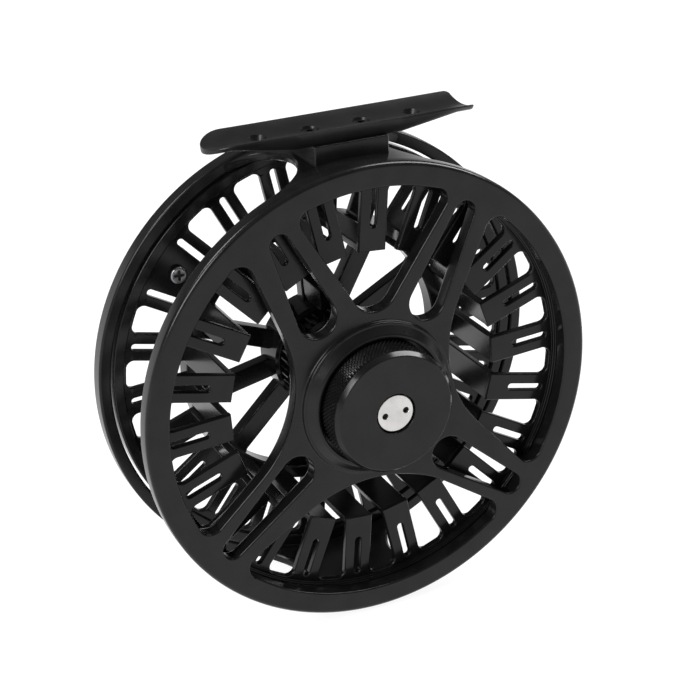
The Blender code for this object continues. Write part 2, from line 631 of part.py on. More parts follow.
def coil(base, along, side, radius, wire, start, end, turns):
    """A coil spring with closed wire ends."""
    up = along.cross(side)
    steps = turns * 10
    builder = bmesh.new()
    rings = []
    for step in range(steps + 1):
        turn = 2.0 * pi * turns * step / steps
        spread = side * cos(turn) + up * sin(turn)
        centre = base + along * (start + (end - start) * step / steps) + spread * radius
        rings.append([builder.verts.new(centre + (spread * cos(a) + along * sin(a)) * wire)
                      for a in (0.0, pi / 2.0, pi, 3.0 * pi / 2.0)])
    builder.faces.new(rings[0])
    builder.faces.new(list(reversed(rings[-1])))
    for here, there in zip(rings, rings[1:]):
        for i in range(4):
            k = (i + 1) % 4
            builder.faces.new((here[i], there[i], there[k], here[k]))
    return builder


# Handle and counterweight: each turned piece has its own axis as its origin

def make_handle(axis):
    handle_at, weight_at = polar(HANDLE_R, HANDLE_ANGLE), polar(HANDLE_R, WEIGHT_ANGLE)
    post = [(1.5 * MM, 31.6 * MM), (3.2 * MM, 31.6 * MM), (3.2 * MM, 32.8 * MM), (2.2 * MM, 32.8 * MM),
            (2.2 * MM, 54.2 * MM), (3.6 * MM, 54.2 * MM), (3.6 * MM, 55.4 * MM), (0.0, 55.4 * MM),
            (0.0, 38.6 * MM), (1.5 * MM, 38.6 * MM)]
    add_piece("handle_post", lathe_with_blind_bore(post), BRIGHT_STEEL, axis, handle_at)
    grip = [(2.5 * MM, 34.0 * MM), (5.0 * MM, 34.0 * MM), (5.9 * MM, 34.8 * MM), (6.1 * MM, 36.6 * MM),
            (5.3 * MM, 41.0 * MM), (5.2 * MM, 45.0 * MM), (6.2 * MM, 51.0 * MM), (6.9 * MM, 54.0 * MM),
            (6.6 * MM, 56.2 * MM), (5.6 * MM, 57.0 * MM), (4.0 * MM, 57.0 * MM), (4.0 * MM, 53.8 * MM),
            (2.5 * MM, 53.8 * MM)]
    add_piece("handle_knob", lathe(grip, INNER_STEPS), BLACK, axis, handle_at)
    washer = lathe(tube(2.5 * MM, 4.2 * MM, 33.1 * MM, 33.7 * MM), INNER_STEPS)
    add_piece("handle_washer", washer, BRASS, axis, handle_at)
    weight = [(1.5 * MM, 31.6 * MM), (4.6 * MM, 31.6 * MM), (5.1 * MM, 32.1 * MM), (5.1 * MM, 34.6 * MM),
              (4.4 * MM, 35.4 * MM), (0.0, 35.4 * MM), (0.0, 34.2 * MM), (1.5 * MM, 34.2 * MM)]
    add_piece("counterweight", lathe_with_blind_bore(weight), BLACK, axis, weight_at)
    for name, place, reach in (("handle_screw", handle_at, 38.0), ("counterweight_screw", weight_at, 33.8)):
        screw = [(0.0, 28.3 * MM), (1.2 * MM, 28.3 * MM), (1.75 * MM, 28.7 * MM), (1.75 * MM, 29.4 * MM),
                 (1.2 * MM, 29.4 * MM), (1.2 * MM, reach * MM), (0.0, reach * MM)]
        head = add_piece(name, lathe(screw, SMALL_STEPS), BRIGHT_STEEL, axis, place)
        for way, (wide, tall) in (("across", (1.05 * MM, 0.21 * MM)), ("upright", (0.21 * MM, 1.05 * MM))):
            box = [(-wide, -tall), (wide, -tall), (wide, tall), (-wide, tall)]
            cut = prism(box, lambda x, z: (x, 27.0 * MM, z), lambda x, z: (x, 28.9 * MM, z))
            combine(head, add_object(f"{name}_slot_{way}", cut, axis, place), 'DIFFERENCE')


def lathe_with_blind_bore(profile):
    """A turned piece whose outline crosses the axis between its 0-radius points."""
    first = next(i for i, point in enumerate(profile) if point[0] == 0.0)
    return lathe(profile[first + 1:] + profile[:first + 1], INNER_STEPS)


def main():
    clear_scene()
    axis = bpy.data.objects.new("reel_axis", None)
    axis.location = (0.0, -FOOT_Y, -AXIS_DROP)
    bpy.context.scene.collection.objects.link(axis)
    make_frame(axis)
    make_foot(axis)
    make_housing(axis)
    make_drag(axis)
    make_knob(axis)
    make_spool(axis)
    make_hub_parts(axis)
    make_clicker(axis)
    make_handle(axis)


main()
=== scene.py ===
from math import acos, asin, atan2, cos, degrees, pi, radians, sin, sqrt, tan

import bmesh
import bpy
from mathutils import Matrix, Vector


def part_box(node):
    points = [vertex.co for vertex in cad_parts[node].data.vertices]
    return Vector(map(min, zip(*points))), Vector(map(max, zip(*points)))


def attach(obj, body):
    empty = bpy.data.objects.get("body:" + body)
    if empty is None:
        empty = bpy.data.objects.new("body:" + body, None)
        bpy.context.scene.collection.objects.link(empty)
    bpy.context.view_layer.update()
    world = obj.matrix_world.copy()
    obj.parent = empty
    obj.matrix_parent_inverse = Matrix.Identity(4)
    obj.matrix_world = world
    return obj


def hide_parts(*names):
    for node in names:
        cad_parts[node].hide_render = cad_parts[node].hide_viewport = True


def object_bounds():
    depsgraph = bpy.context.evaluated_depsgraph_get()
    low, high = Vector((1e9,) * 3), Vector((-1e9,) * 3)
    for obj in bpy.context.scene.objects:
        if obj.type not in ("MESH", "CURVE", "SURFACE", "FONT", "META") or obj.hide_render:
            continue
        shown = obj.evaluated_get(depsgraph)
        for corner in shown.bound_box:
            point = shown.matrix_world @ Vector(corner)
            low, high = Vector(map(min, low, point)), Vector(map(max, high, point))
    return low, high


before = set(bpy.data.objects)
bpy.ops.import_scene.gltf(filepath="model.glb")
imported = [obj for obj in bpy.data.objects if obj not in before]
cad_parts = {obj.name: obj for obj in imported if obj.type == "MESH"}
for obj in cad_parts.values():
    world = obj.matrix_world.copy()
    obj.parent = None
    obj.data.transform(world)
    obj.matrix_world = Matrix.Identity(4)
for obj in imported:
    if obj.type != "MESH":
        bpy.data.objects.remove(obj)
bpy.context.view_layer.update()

# Every shape below is in reel millimetres: x across, y back from the front plate's face and z up,
# measured from the spool's axis. MM is one of them in metres and AXIS is where they start, and both
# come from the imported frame.
FRAME_WIDTH = 105.8                      # the frame's width in reel millimetres
BACK_Y = (28.9, 32.9)                    # front and back faces of the back ring
_frame_low, _frame_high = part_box("frame")
_shaft_low, _shaft_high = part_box("spindle")
MM = (_frame_high.x - _frame_low.x) / FRAME_WIDTH
AXIS = Vector(((_shaft_low.x + _shaft_high.x) / 2.0,
               _frame_high.y - BACK_Y[1] * MM,
               (_shaft_low.z + _shaft_high.z) / 2.0))

RING_R = 52.5                            # front ring's outer radius
PLATE_T = 4.0                            # front plate's thickness
FLANGE_R = 49.6                          # spool's outer radius
RIB_COUNT = 22
SPOKE_COUNT = 11
RIB_PITCH = 360.0 / RIB_COUNT
RIB_PHASE = 3.6
SPOKE_PITCH = 360.0 / SPOKE_COUNT
SPOKE_PHASE = RIB_PHASE + 1.5 * RIB_PITCH
WEIGHT_ANGLE = RIB_PHASE + 8.5 * RIB_PITCH
HANDLE_ANGLE = WEIGHT_ANGLE + 180.0
HANDLE_R = 0.786 * RING_R
PLUNGER_ANGLE = SPOKE_PHASE + 2.0 * SPOKE_PITCH
ON_AXIS = 1e-6                           # a radius below this is a point on the axis


# Points and outlines

NEARLY_STRAIGHT = radians(86.0)          # half of a corner's angle, past which it isn't rounded


def flat(radius, angle):
    """A point at this radius and angle in degrees, as (x, z)."""
    return Vector((radius * cos(radians(angle)), radius * sin(radians(angle))))


def polar(radius, angle, y=0.0):
    """The same point in space, at a distance y along the spool's axis."""
    point = flat(radius, angle)
    return Vector((point.x, y, point.y))


def circle(radius, steps, centre=(0.0, 0.0)):
    """Points round a circle, as (x, z)."""
    return [Vector(centre) + flat(radius, 360.0 * i / steps) for i in range(steps)]


def arc(centre, radius, start, end, steps):
    """Points on an arc between two angles in radians."""
    return [Vector((centre[0] + radius * cos(start + (end - start) * i / steps),
                    centre[1] + radius * sin(start + (end - start) * i / steps)))
            for i in range(steps + 1)]


def fillet(before, corner, after, radius, steps):
    """The arc that rounds a corner between its two neighbours."""
    u = (before - corner).normalized()
    v = (after - corner).normalized()
    half = acos(max(-1.0, min(1.0, u.dot(v)))) / 2.0
    centre = corner + (u + v).normalized() * (radius / sin(half))
    first = corner + u * (radius / tan(half)) - centre
    last = corner + v * (radius / tan(half)) - centre
    start = atan2(first.y, first.x)
    end = atan2(last.y, last.x)
    if end - start > pi:
        end -= 2.0 * pi
    if end - start < -pi:
        end += 2.0 * pi
    return arc(centre, radius, start, end, steps)


def rounded(profile, radius, steps):
    """A closed (radius, y) profile with its corners rounded, apart from those on the axis."""
    corners = [Vector(p) for p in profile]
    out = []
    for i, corner in enumerate(corners):
        before, after = corners[i - 1], corners[(i + 1) % len(corners)]
        u = (before - corner).normalized()
        v = (after - corner).normalized()
        half = acos(max(-1.0, min(1.0, u.dot(v)))) / 2.0
        room = 0.48 * min((before - corner).length, (after - corner).length)
        size = min(radius, room * tan(half))
        if corner.x < ON_AXIS or half > NEARLY_STRAIGHT:
            out.append(corner)
        else:
            out += fillet(before, corner, after, size, steps)
    return out


def big_window(high, low, tip, tip_radius, corner_radius):
    """A window between two arms: an outer arc from angle high to low and two sides to a tip."""
    reach = 0.90 * RING_R
    first, last = flat(reach, high), flat(reach, low)
    point = Vector(tip) * RING_R
    along_first = first + flat(0.3 * RING_R, high - 90.0)
    along_last = last + flat(0.3 * RING_R, low + 90.0)
    corner_first = fillet(point, first, along_first, corner_radius * RING_R, 10)
    corner_last = fillet(along_last, last, point, corner_radius * RING_R, 10)
    clear = corner_radius * 1.35 * RING_R
    rim = [flat(reach, high + (low - high) * i / 60) for i in range(61)]
    rim = [p for p in rim if (p - first).length > clear and (p - last).length > clear]
    return corner_first + rim + corner_last + fillet(last, point, first, tip_radius * RING_R, 28)


def teardrop(outer_tip, inner_tip, outer_radius, inner_radius):
    """The slot that splits an arm: two round ends of unlike size joined by straight sides."""
    outer, inner = Vector(outer_tip) * RING_R, Vector(inner_tip) * RING_R
    along = (inner - outer).normalized()
    small, large = outer_radius * RING_R, inner_radius * RING_R
    small_centre, large_centre = outer + along * small, inner - along * large
    lean = asin((large - small) / (large_centre - small_centre).length)
    heading = atan2(along.y, along.x)
    side = pi / 2.0 + lean
    small_end = arc(small_centre, small, heading + side, heading + 2.0 * pi - side, 14)
    return small_end + arc(large_centre, large, heading - side, heading + side, 18)


def arm_openings():
    """The four windows between the plate's arms and the four slots that split the arms."""
    windows = [
        big_window(111.5, 66.0, (0.0, 0.30), 0.10, 0.05),
        big_window(52.5, -35.0, (0.245, 0.03), 0.55, 0.06),
        big_window(-48.0, -135.0, (0.0, -0.262), 0.60, 0.06),
        big_window(211.5, 127.0, (-0.255, 0.0), 0.55, 0.06),
    ]
    slots = [
        teardrop((-0.41, 0.78), (-0.215, 0.325), 0.045, 0.085),
        teardrop((0.44, 0.77), (0.205, 0.305), 0.045, 0.08),
        teardrop((0.675, -0.595), (0.27, -0.295), 0.047, 0.075),
        teardrop((-0.70, -0.56), (-0.31, -0.21), 0.045, 0.075),
    ]
    return windows + slots


def slot_outline(angle, start, end, width):
    """A slot with round ends, pointing away from the axis."""
    half = width / 2.0
    heading = radians(angle)
    inner = arc(flat(start + half, angle), half, heading + pi / 2.0, heading + 1.5 * pi, 8)
    return inner + arc(flat(end - half, angle), half, heading - pi / 2.0, heading + pi / 2.0, 8)


# Meshes

def area(outline):
    """The area inside an outline, negative where its points run clockwise."""
    return sum(p.x * q.y - q.x * p.y for p, q in zip(outline, outline[1:] + outline[:1])) / 2.0


def shifted(outline, distance):
    """The outline moved to its left by a distance, corners kept."""
    moved = []
    for i, point in enumerate(outline):
        into = (point - outline[i - 1]).normalized()
        away = (outline[(i + 1) % len(outline)] - point).normalized()
        left = Vector((-into.y - away.y, into.x + away.x)).normalized()
        reach = max(0.35, left.dot(Vector((-into.y, into.x))))
        moved.append(point + left * (distance / reach))
    return moved


EDGE_BENDS = 3                           # steps round a plate's rounded edge


def plate(outlines, y0, y1, place=None):
    """A flat piece with rounded edges. Each outline is (points, front edge radius, back edge
    radius): the first is the outside and the rest are holes."""
    place = place or (lambda x, y, z: (x, y, z))
    builder = bmesh.new()
    fronts, backs = [], []
    for number, (points, front_edge, back_edge) in enumerate(outlines):
        if area(points) < 0.0:
            points = points[::-1]
        into = 1.0 if number == 0 else -1.0
        rings = []
        for k in range(EDGE_BENDS + 1):
            turn = pi / 2.0 * k / EDGE_BENDS
            rings.append((front_edge * (1.0 - sin(turn)), y0 + front_edge * (1.0 - cos(turn))))
        for k in range(EDGE_BENDS, -1, -1):
            turn = pi / 2.0 * k / EDGE_BENDS
            rings.append((back_edge * (1.0 - sin(turn)), y1 - back_edge * (1.0 - cos(turn))))
        loops = [[builder.verts.new(place(p.x, y, p.y)) for p in shifted(points, into * off)]
                 for off, y in rings]
        for near, far in zip(loops, loops[1:]):
            for i in range(len(near)):
                k = (i + 1) % len(near)
                builder.faces.new((near[i], near[k], far[k], far[i]))
        fronts.append(loops[0])
        backs.append(loops[-1])
    for loops in (fronts, backs):
        edges = []
        for loop in loops:
            edges += [builder.edges.get((loop[i - 1], loop[i])) for i in range(len(loop))]
        bmesh.ops.triangle_fill(builder, use_beauty=True, use_dissolve=False, edges=edges)
    return builder


def lathe(profile, steps):
    """Turns a closed (radius, y) profile about the Y axis. Points on the axis become one vertex."""
    builder = bmesh.new()
    columns = []
    for radius, y in profile:
        if radius < ON_AXIS:
            columns.append([builder.verts.new((0.0, y, 0.0))])
        else:
            columns.append([builder.verts.new((radius * cos(2.0 * pi * i / steps), y,
                                               radius * sin(2.0 * pi * i / steps)))
                            for i in range(steps)])
    for here, there in zip(columns, columns[1:] + columns[:1]):
        if len(here) == 1 and len(there) == 1:
            continue
        for i in range(steps):
            k = (i + 1) % steps
            if len(here) == 1:
                builder.faces.new((here[0], there[k], there[i]))
            elif len(there) == 1:
                builder.faces.new((here[i], here[k], there[0]))
            else:
                builder.faces.new((here[i], here[k], there[k], there[i]))
    return builder


def loft(loops):
    """A closed skin over loops of points, with a flat face over each end."""
    builder = bmesh.new()
    rings = [[builder.verts.new(p) for p in loop] for loop in loops]
    for near, far in zip(rings, rings[1:]):
        for i in range(len(near)):
            k = (i + 1) % len(near)
            builder.faces.new((near[i], near[k], far[k], far[i]))
    builder.faces.new(rings[0])
    builder.faces.new(list(reversed(rings[-1])))
    return builder


def upright_bar(sections, sides):
    """A bar that stands along Z: sections hold (radius, z)."""
    return loft([[Vector((radius * cos(2.0 * pi * i / sides), radius * sin(2.0 * pi * i / sides), z))
                  for i in range(sides)]
                 for radius, z in sections])


def box(low, high, edge, place=None, into=None):
    """A block between two corners with rounded edges."""
    block = bmesh.new()
    bmesh.ops.create_cube(block, size=1.0)
    for vert in block.verts:
        vert.co = Vector([lo + (hi - lo) * (c + 0.5) for lo, hi, c in zip(low, high, vert.co)])
    bmesh.ops.bevel(block, geom=block.edges[:], offset=edge, segments=3, profile=0.5,
                    affect='EDGES', clamp_overlap=True)
    if place:
        for vert in block.verts:
            vert.co = place(vert.co)
    if into is None:
        return block
    mesh = bpy.data.meshes.new("block")
    block.to_mesh(mesh)
    block.free()
    into.from_mesh(mesh)
    bpy.data.meshes.remove(mesh)
    return into


def out_from_axis(angle, base=None):
    """Turns (along the radius, y, sideways) into a place."""
    out, side = polar(1.0, angle), polar(1.0, angle + 90.0)
    start = base or Vector()
    return lambda p: start + out * p[0] + Vector((0.0, p[1], 0.0)) + side * p[2]


# Finishes

def node(tree, kind, **values):
    """Adds a node and sets its inputs, or its own properties where no input has the name."""
    made = tree.nodes.new(kind)
    for key, value in values.items():
        if key in made.inputs:
            made.inputs[key].default_value = value
        else:
            setattr(made, key, value)
    return made


def new_material(name, colour, roughness, metallic, specular=0.5):
    """A material whose shader has one value per input."""
    material = bpy.data.materials.new(name)
    material.use_nodes = True
    tree = material.node_tree
    shader = tree.nodes["Principled BSDF"]
    shader.inputs["Base Color"].default_value = (*colour, 1.0)
    shader.inputs["Roughness"].default_value = roughness
    shader.inputs["Metallic"].default_value = metallic
    shader.inputs["Specular IOR Level"].default_value = specular
    return material, tree, shader


def vary_roughness(tree, shader, low, high, scale):
    """Drives the roughness with soft noise between two values."""
    place = node(tree, "ShaderNodeTexCoord")
    noise = node(tree, "ShaderNodeTexNoise", Scale=scale, Detail=3.0)
    tree.links.new(place.outputs["Object"], noise.inputs["Vector"])
    spread = node(tree, "ShaderNodeMapRange")
    spread.inputs["From Min"].default_value = 0.3
    spread.inputs["From Max"].default_value = 0.7
    spread.inputs["To Min"].default_value = low
    spread.inputs["To Max"].default_value = high
    tree.links.new(noise.outputs["Fac"], spread.inputs["Value"])
    tree.links.new(spread.outputs["Result"], shader.inputs["Roughness"])


def tint(tree, shader, dark, light, scale):
    """Mottles the base colour very slightly between two colours."""
    place = node(tree, "ShaderNodeTexCoord")
    noise = node(tree, "ShaderNodeTexNoise", Scale=scale, Detail=4.0)
    tree.links.new(place.outputs["Object"], noise.inputs["Vector"])
    ramp = node(tree, "ShaderNodeValToRGB")
    ramp.color_ramp.elements[0].position = 0.35
    ramp.color_ramp.elements[0].color = (*dark, 1.0)
    ramp.color_ramp.elements[1].position = 0.65
    ramp.color_ramp.elements[1].color = (*light, 1.0)
    tree.links.new(noise.outputs["Fac"], ramp.inputs["Fac"])
    tree.links.new(ramp.outputs["Color"], shader.inputs["Base Color"])


def bumps(tree, shader, layers):
    """Chains bump layers: each is (texture output, strength, height in metres)."""
    normal = None
    for output, strength, height in layers:
        bump = node(tree, "ShaderNodeBump", Strength=strength, Distance=height)
        tree.links.new(output, bump.inputs["Height"])
        if normal:
            tree.links.new(normal, bump.inputs["Normal"])
        normal = bump.outputs["Normal"]
    tree.links.new(normal, shader.inputs["Normal"])


def blast_grain(tree, scale):
    """The fine sandy grain of a blasted and anodised surface."""
    place = node(tree, "ShaderNodeTexCoord")
    grain = node(tree, "ShaderNodeTexNoise", Scale=scale, Detail=2.0, Roughness=0.6)
    tree.links.new(place.outputs["Object"], grain.inputs["Vector"])
    return grain.outputs["Fac"]


def turning_lines(tree, pitch, along_axis):
    """Tool marks of a lathe: rings about the axis on faces, or bands along it on round sides."""
    place = node(tree, "ShaderNodeTexCoord")
    split = node(tree, "ShaderNodeSeparateXYZ")
    tree.links.new(place.outputs["Object"], split.inputs["Vector"])
    if along_axis:
        height = split.outputs["Y"]
    else:
        across = node(tree, "ShaderNodeCombineXYZ")
        tree.links.new(split.outputs["X"], across.inputs["X"])
        tree.links.new(split.outputs["Z"], across.inputs["Z"])
        size = node(tree, "ShaderNodeVectorMath", operation='LENGTH')
        tree.links.new(across.outputs["Vector"], size.inputs[0])
        height = size.outputs["Value"]
    line = node(tree, "ShaderNodeCombineXYZ")
    tree.links.new(height, line.inputs["X"])
    marks = node(tree, "ShaderNodeTexNoise", Scale=1.0 / pitch, Detail=3.0, Roughness=0.7)
    tree.links.new(line.outputs["Vector"], marks.inputs["Vector"])
    return marks.outputs["Fac"]


MARK_DEPTH = 0.00003                     # height in metres of a black finish's grain and tool marks


def anodised(name, colour, roughness, grain=0.03, lines=0.08, along_axis=False, specular=0.24):
    """Black anodised aluminium: a fine blasted grain, over faint tool marks if lines isn't 0."""
    material, tree, shader = new_material(name, colour, roughness, 0.0, specular)
    lighter = tuple(c * 1.3 for c in colour)
    darker = tuple(c * 0.8 for c in colour)
    tint(tree, shader, darker, lighter, 160.0)
    vary_roughness(tree, shader, roughness - 0.02, roughness + 0.03, 2400.0)
    layers = [(blast_grain(tree, 5200.0), grain, MARK_DEPTH)]
    if lines:
        layers.append((turning_lines(tree, 0.00035, along_axis), lines, MARK_DEPTH))
    bumps(tree, shader, layers)
    return material


def metal(name, colour, roughness, pitch, lines):
    """Bare turned or ground metal."""
    material, tree, shader = new_material(name, colour, roughness, 1.0)
    darker = tuple(c * 0.9 for c in colour)
    lighter = tuple(min(1.0, c * 1.06) for c in colour)
    tint(tree, shader, darker, lighter, 300.0)
    vary_roughness(tree, shader, roughness - 0.05, roughness + 0.07, 900.0)
    bumps(tree, shader, [(turning_lines(tree, pitch, False), lines, 0.00002)])
    return material


def moulded(name, colour, roughness, scale, strength):
    """Matt rubber or plastic with a pebbled skin."""
    material, tree, shader = new_material(name, colour, roughness, 0.0, 0.35)
    tint(tree, shader, tuple(c * 0.8 for c in colour), tuple(c * 1.3 for c in colour), 220.0)
    vary_roughness(tree, shader, roughness - 0.05, min(1.0, roughness + 0.08), 500.0)
    bumps(tree, shader, [(blast_grain(tree, scale), strength, 0.00005)])
    return material


PLATE_BLACK = (0.0070, 0.0070, 0.0074)
FOOT_BLACK = (0.0075, 0.0075, 0.0079)
SPOOL_BLACK = (0.0060, 0.0060, 0.0064)
KNURL_BLACK = (0.0060, 0.0060, 0.0063)

FINISHES = {
    "frame_black": anodised("frame_black", PLATE_BLACK, 0.20),
    "side_black": anodised("side_black", PLATE_BLACK, 0.23, along_axis=True),
    "foot_black": anodised("foot_black", FOOT_BLACK, 0.34, grain=0.3, lines=0.0, specular=0.29),
    "spool_black": anodised("spool_black", SPOOL_BLACK, 0.17),
    "bar_black": anodised("bar_black", SPOOL_BLACK, 0.20, lines=0.0, specular=0.35),
    "knob_black": anodised("knob_black", PLATE_BLACK, 0.18),
    "knurl_black": anodised("knurl_black", KNURL_BLACK, 0.17, grain=0.0, lines=0.0, specular=0.22),
    "inner_black": anodised("inner_black", (0.0030, 0.0030, 0.0032), 0.26, lines=0.0),
    "grip_black": moulded("grip_black", (0.012, 0.012, 0.0125), 0.55, 2600.0, 0.5),
    "silver": metal("silver", (0.58, 0.565, 0.555), 0.30, 0.00012, 0.3),
    "screw_steel": metal("screw_steel", (0.34, 0.34, 0.35), 0.30, 0.00012, 0.3),
    "bright_steel": metal("bright_steel", (0.52, 0.52, 0.54), 0.26, 0.0002, 0.3),
    "screw_dark": metal("screw_dark", (0.05, 0.05, 0.053), 0.34, 0.0002, 0.2),
    "brass": metal("brass", (0.56, 0.40, 0.18), 0.30, 0.0002, 0.3),
    "friction": moulded("friction", (0.02, 0.02, 0.02), 0.75, 1800.0, 0.6),
    # The shaft seal's matt rubber; the same black is also painted shade behind the knob cap's holes.
    "seal_rubber": moulded("seal_rubber", (0.012, 0.012, 0.012), 0.7, 2400.0, 0.4),
}


def add_piece(name, builder, finish, body, nodes=(), centre=(0.0, 0.0, 0.0), sharp=38.0):
    """Makes an object of a mesh in reel millimetres, rides it on its body and hides the imported
    parts of the nodes it stands for."""
    bmesh.ops.recalc_face_normals(builder, faces=builder.faces[:])
    bmesh.ops.scale(builder, vec=(MM, MM, MM), verts=builder.verts[:])
    mesh = bpy.data.meshes.new(name)
    builder.to_mesh(mesh)
    builder.free()
    mesh.shade_smooth()
    mesh.set_sharp_from_angle(angle=radians(sharp))
    mesh.materials.append(FINISHES[finish])
    piece = bpy.data.objects.new(name, mesh)
    piece.location = AXIS + Vector(centre) * MM
    bpy.context.scene.collection.objects.link(piece)
    weighted = piece.modifiers.new("even_normals", 'WEIGHTED_NORMAL')
    weighted.keep_sharp = True
    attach(piece, body)
    if nodes:
        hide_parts(*nodes)
    return piece


def cut(piece, cutter_builder, centre=(0.0, 0.0, 0.0)):
    """Takes a shape out of a piece for good."""
    bmesh.ops.recalc_face_normals(cutter_builder, faces=cutter_builder.faces[:])
    bmesh.ops.scale(cutter_builder, vec=(MM, MM, MM), verts=cutter_builder.verts[:])
    mesh = bpy.data.meshes.new("cutter")
    cutter_builder.to_mesh(mesh)
    cutter_builder.free()
    cutter = bpy.data.objects.new("cutter", mesh)
    cutter.location = AXIS + Vector(centre) * MM
    bpy.context.scene.collection.objects.link(cutter)
    step = piece.modifiers.new("cut", 'BOOLEAN')
    step.operation = 'DIFFERENCE'
    step.object = cutter
    piece.modifiers.move(len(piece.modifiers) - 1, 0)
    bpy.context.view_layer.update()
    with bpy.context.temp_override(object=piece, active_object=piece, selected_objects=[piece]):
        bpy.ops.object.modifier_apply(modifier="cut")
    bpy.data.objects.remove(cutter)
    bpy.data.meshes.remove(mesh)


# Frame

BRIDGE_R = (50.3, 52.2)
BACK_RING_R = (50.1, 52.9)
HUB_BORE_R = 9.0
STEM_X = (-8.9, 8.1)
STEM_Y = (7.5, 20.5)
STEM_TOP = 55.2
FOOT_EDGE_Z = 1.125 * RING_R             # height of the foot's long edges above the axis
TROUGH_DEPTH = 1.5
FOOT_Y = 14.0
FOOT_SIZE = (59.8, 12.9)
FOOT_X = -1.1                            # the foot's middle is left of the axis
FOOT_UNDERSIDE = STEM_TOP + 0.3
FOOT_THIN = 1.2                          # least thickness under the trough
FOOT_TIP = 0.9                           # thickness at the tips
FOOT_END = 1.2                           # how far the rounding of the straight end reaches
FOOT_HOLES = [FOOT_X + x for x in (-17.7, -5.9, 5.9, 17.7)]
FOOT_LEVEL_X = (STEM_X[0] - 3.5, STEM_X[1] + 3.5)   # beyond these the underside rises to the tips


def make_plate():
    """The front plate with its windows, open in the middle for the collar."""
    outlines = [(circle(RING_R, 240), 1.1, 0.4)]
    outlines += [(points, 0.5, 0.95) for points in arm_openings()]
    outlines.append((circle(15.2, 160), 0.05, 0.05))
    add_piece("frame_plate", plate(outlines, 0.0, PLATE_T), "frame_black", "frame_side", ["frame"])


def make_collar():
    """The raised collar round the knob: a sharp inner lip and a sloping side down to the plate."""
    bore, brow = Vector((14.5, -2.5)), Vector((15.3, -2.5))
    crease, rim = Vector((17.0, -0.95)), Vector((17.7, -0.95))
    profile = [Vector((HUB_BORE_R, 1.0)), Vector((14.5, 1.0))]
    profile += fillet(Vector((14.5, 1.0)), bore, brow, 0.3, 6)
    profile += fillet(bore, brow, crease, 0.9, 8)
    profile += fillet(brow, crease, rim, 0.1, 2)
    profile += fillet(crease, rim, Vector((17.7, 0.0)), 0.45, 7)
    profile += arc((18.2, -0.47), 0.5, radians(180.0), radians(90.0), 7)
    profile += [Vector((18.2, 0.4)), Vector((17.4, 0.4)), Vector((17.4, 4.6)), Vector((HUB_BORE_R, 4.6))]
    add_piece("frame_collar", lathe(profile, 200), "frame_black", "frame_side")


def make_back_ring():
    """The plain ring behind the spool, which the bridges carry."""
    inner, outer = BACK_RING_R
    front, back = BACK_Y
    ring = rounded([(inner, front), (outer, front), (outer, back), (inner, back)], 0.55, 5)
    add_piece("frame_back_ring", lathe(ring, 240), "side_black", "frame_side")


def make_bridge(name, middle, waist):
    """A curved wall between the rings, narrow in the middle and flared to both of them."""
    across, bands, edge, tuck = 28, 44, 0.45, 1.5
    flare = (BACK_Y[0] - PLATE_T) / 2.0
    y_middle = PLATE_T + flare
    reach = 0.995 * flare
    levels = [PLATE_T - tuck]
    levels += [y_middle - reach * cos(pi * band / bands) for band in range(bands + 1)]
    levels += [BACK_Y[0] + tuck]
    inner, outer = BRIDGE_R
    loops = []
    for y in levels:
        off = min(abs(y - y_middle), reach)
        half = (waist + flare - sqrt(flare * flare - off * off)) / outer
        face = half - edge / outer
        turns = [(2.0 * c / across - 1.0) * face for c in range(across + 1)]
        loop = [polar(outer, middle + degrees(turn), y) for turn in turns]
        loop += [polar(radius, middle + degrees(half), y) for radius in (outer - edge, inner + edge)]
        loop += [polar(inner, middle + degrees(turn), y) for turn in reversed(turns)]
        loop += [polar(radius, middle - degrees(half), y) for radius in (inner + edge, outer - edge)]
        loops.append(loop)
    add_piece(name, loft(loops), "side_black", "frame_side")


def make_stem():
    """The block that carries the foot, from the top bridge up to just inside the foot."""
    block = box((STEM_X[0], STEM_Y[0], 50.6), (STEM_X[1], STEM_Y[1], STEM_TOP + 0.5), 0.35)
    add_piece("frame_stem", block, "side_black", "frame_side")


# Foot

def trough_height(y_off):
    """The height of the trough's floor at this distance from its middle."""
    half = FOOT_SIZE[1] / 2.0
    radius = (half * half + TROUGH_DEPTH * TROUGH_DEPTH) / (2.0 * TROUGH_DEPTH)
    return FOOT_EDGE_Z - TROUGH_DEPTH + radius - sqrt(radius * radius - y_off * y_off)


def foot_section(x, half, lift):
    """The foot's outline across its length at one station: trough, rounded edges, underside."""
    columns, edge, lean = 22, 0.35, 0.13
    underside = FOOT_UNDERSIDE + lift
    inside = max(half - edge, 0.02)
    top = [(inside * (1.0 - 2.0 * c / columns), trough_height(inside * (1.0 - 2.0 * c / columns)))
           for c in range(columns + 1)]
    low = [(-y * (1.0 - lean), min(underside, z - FOOT_THIN)) for y, z in top]
    lip_top, lip_low = top[-1][1], low[0][1]
    rise = lip_top - lip_low
    side = [(half - edge * 0.3, lip_top - 0.03 * rise), (half, lip_top - 0.15 * rise),
            (half - lean * half * 0.5, lip_top - 0.6 * rise), (half - lean * half, lip_low + 0.1 * rise)]
    loop = list(top)
    loop += [(-y, z) for y, z in side]
    loop += low
    loop += reversed(side)
    return [Vector((x, FOOT_Y + y, z)) for y, z in loop]


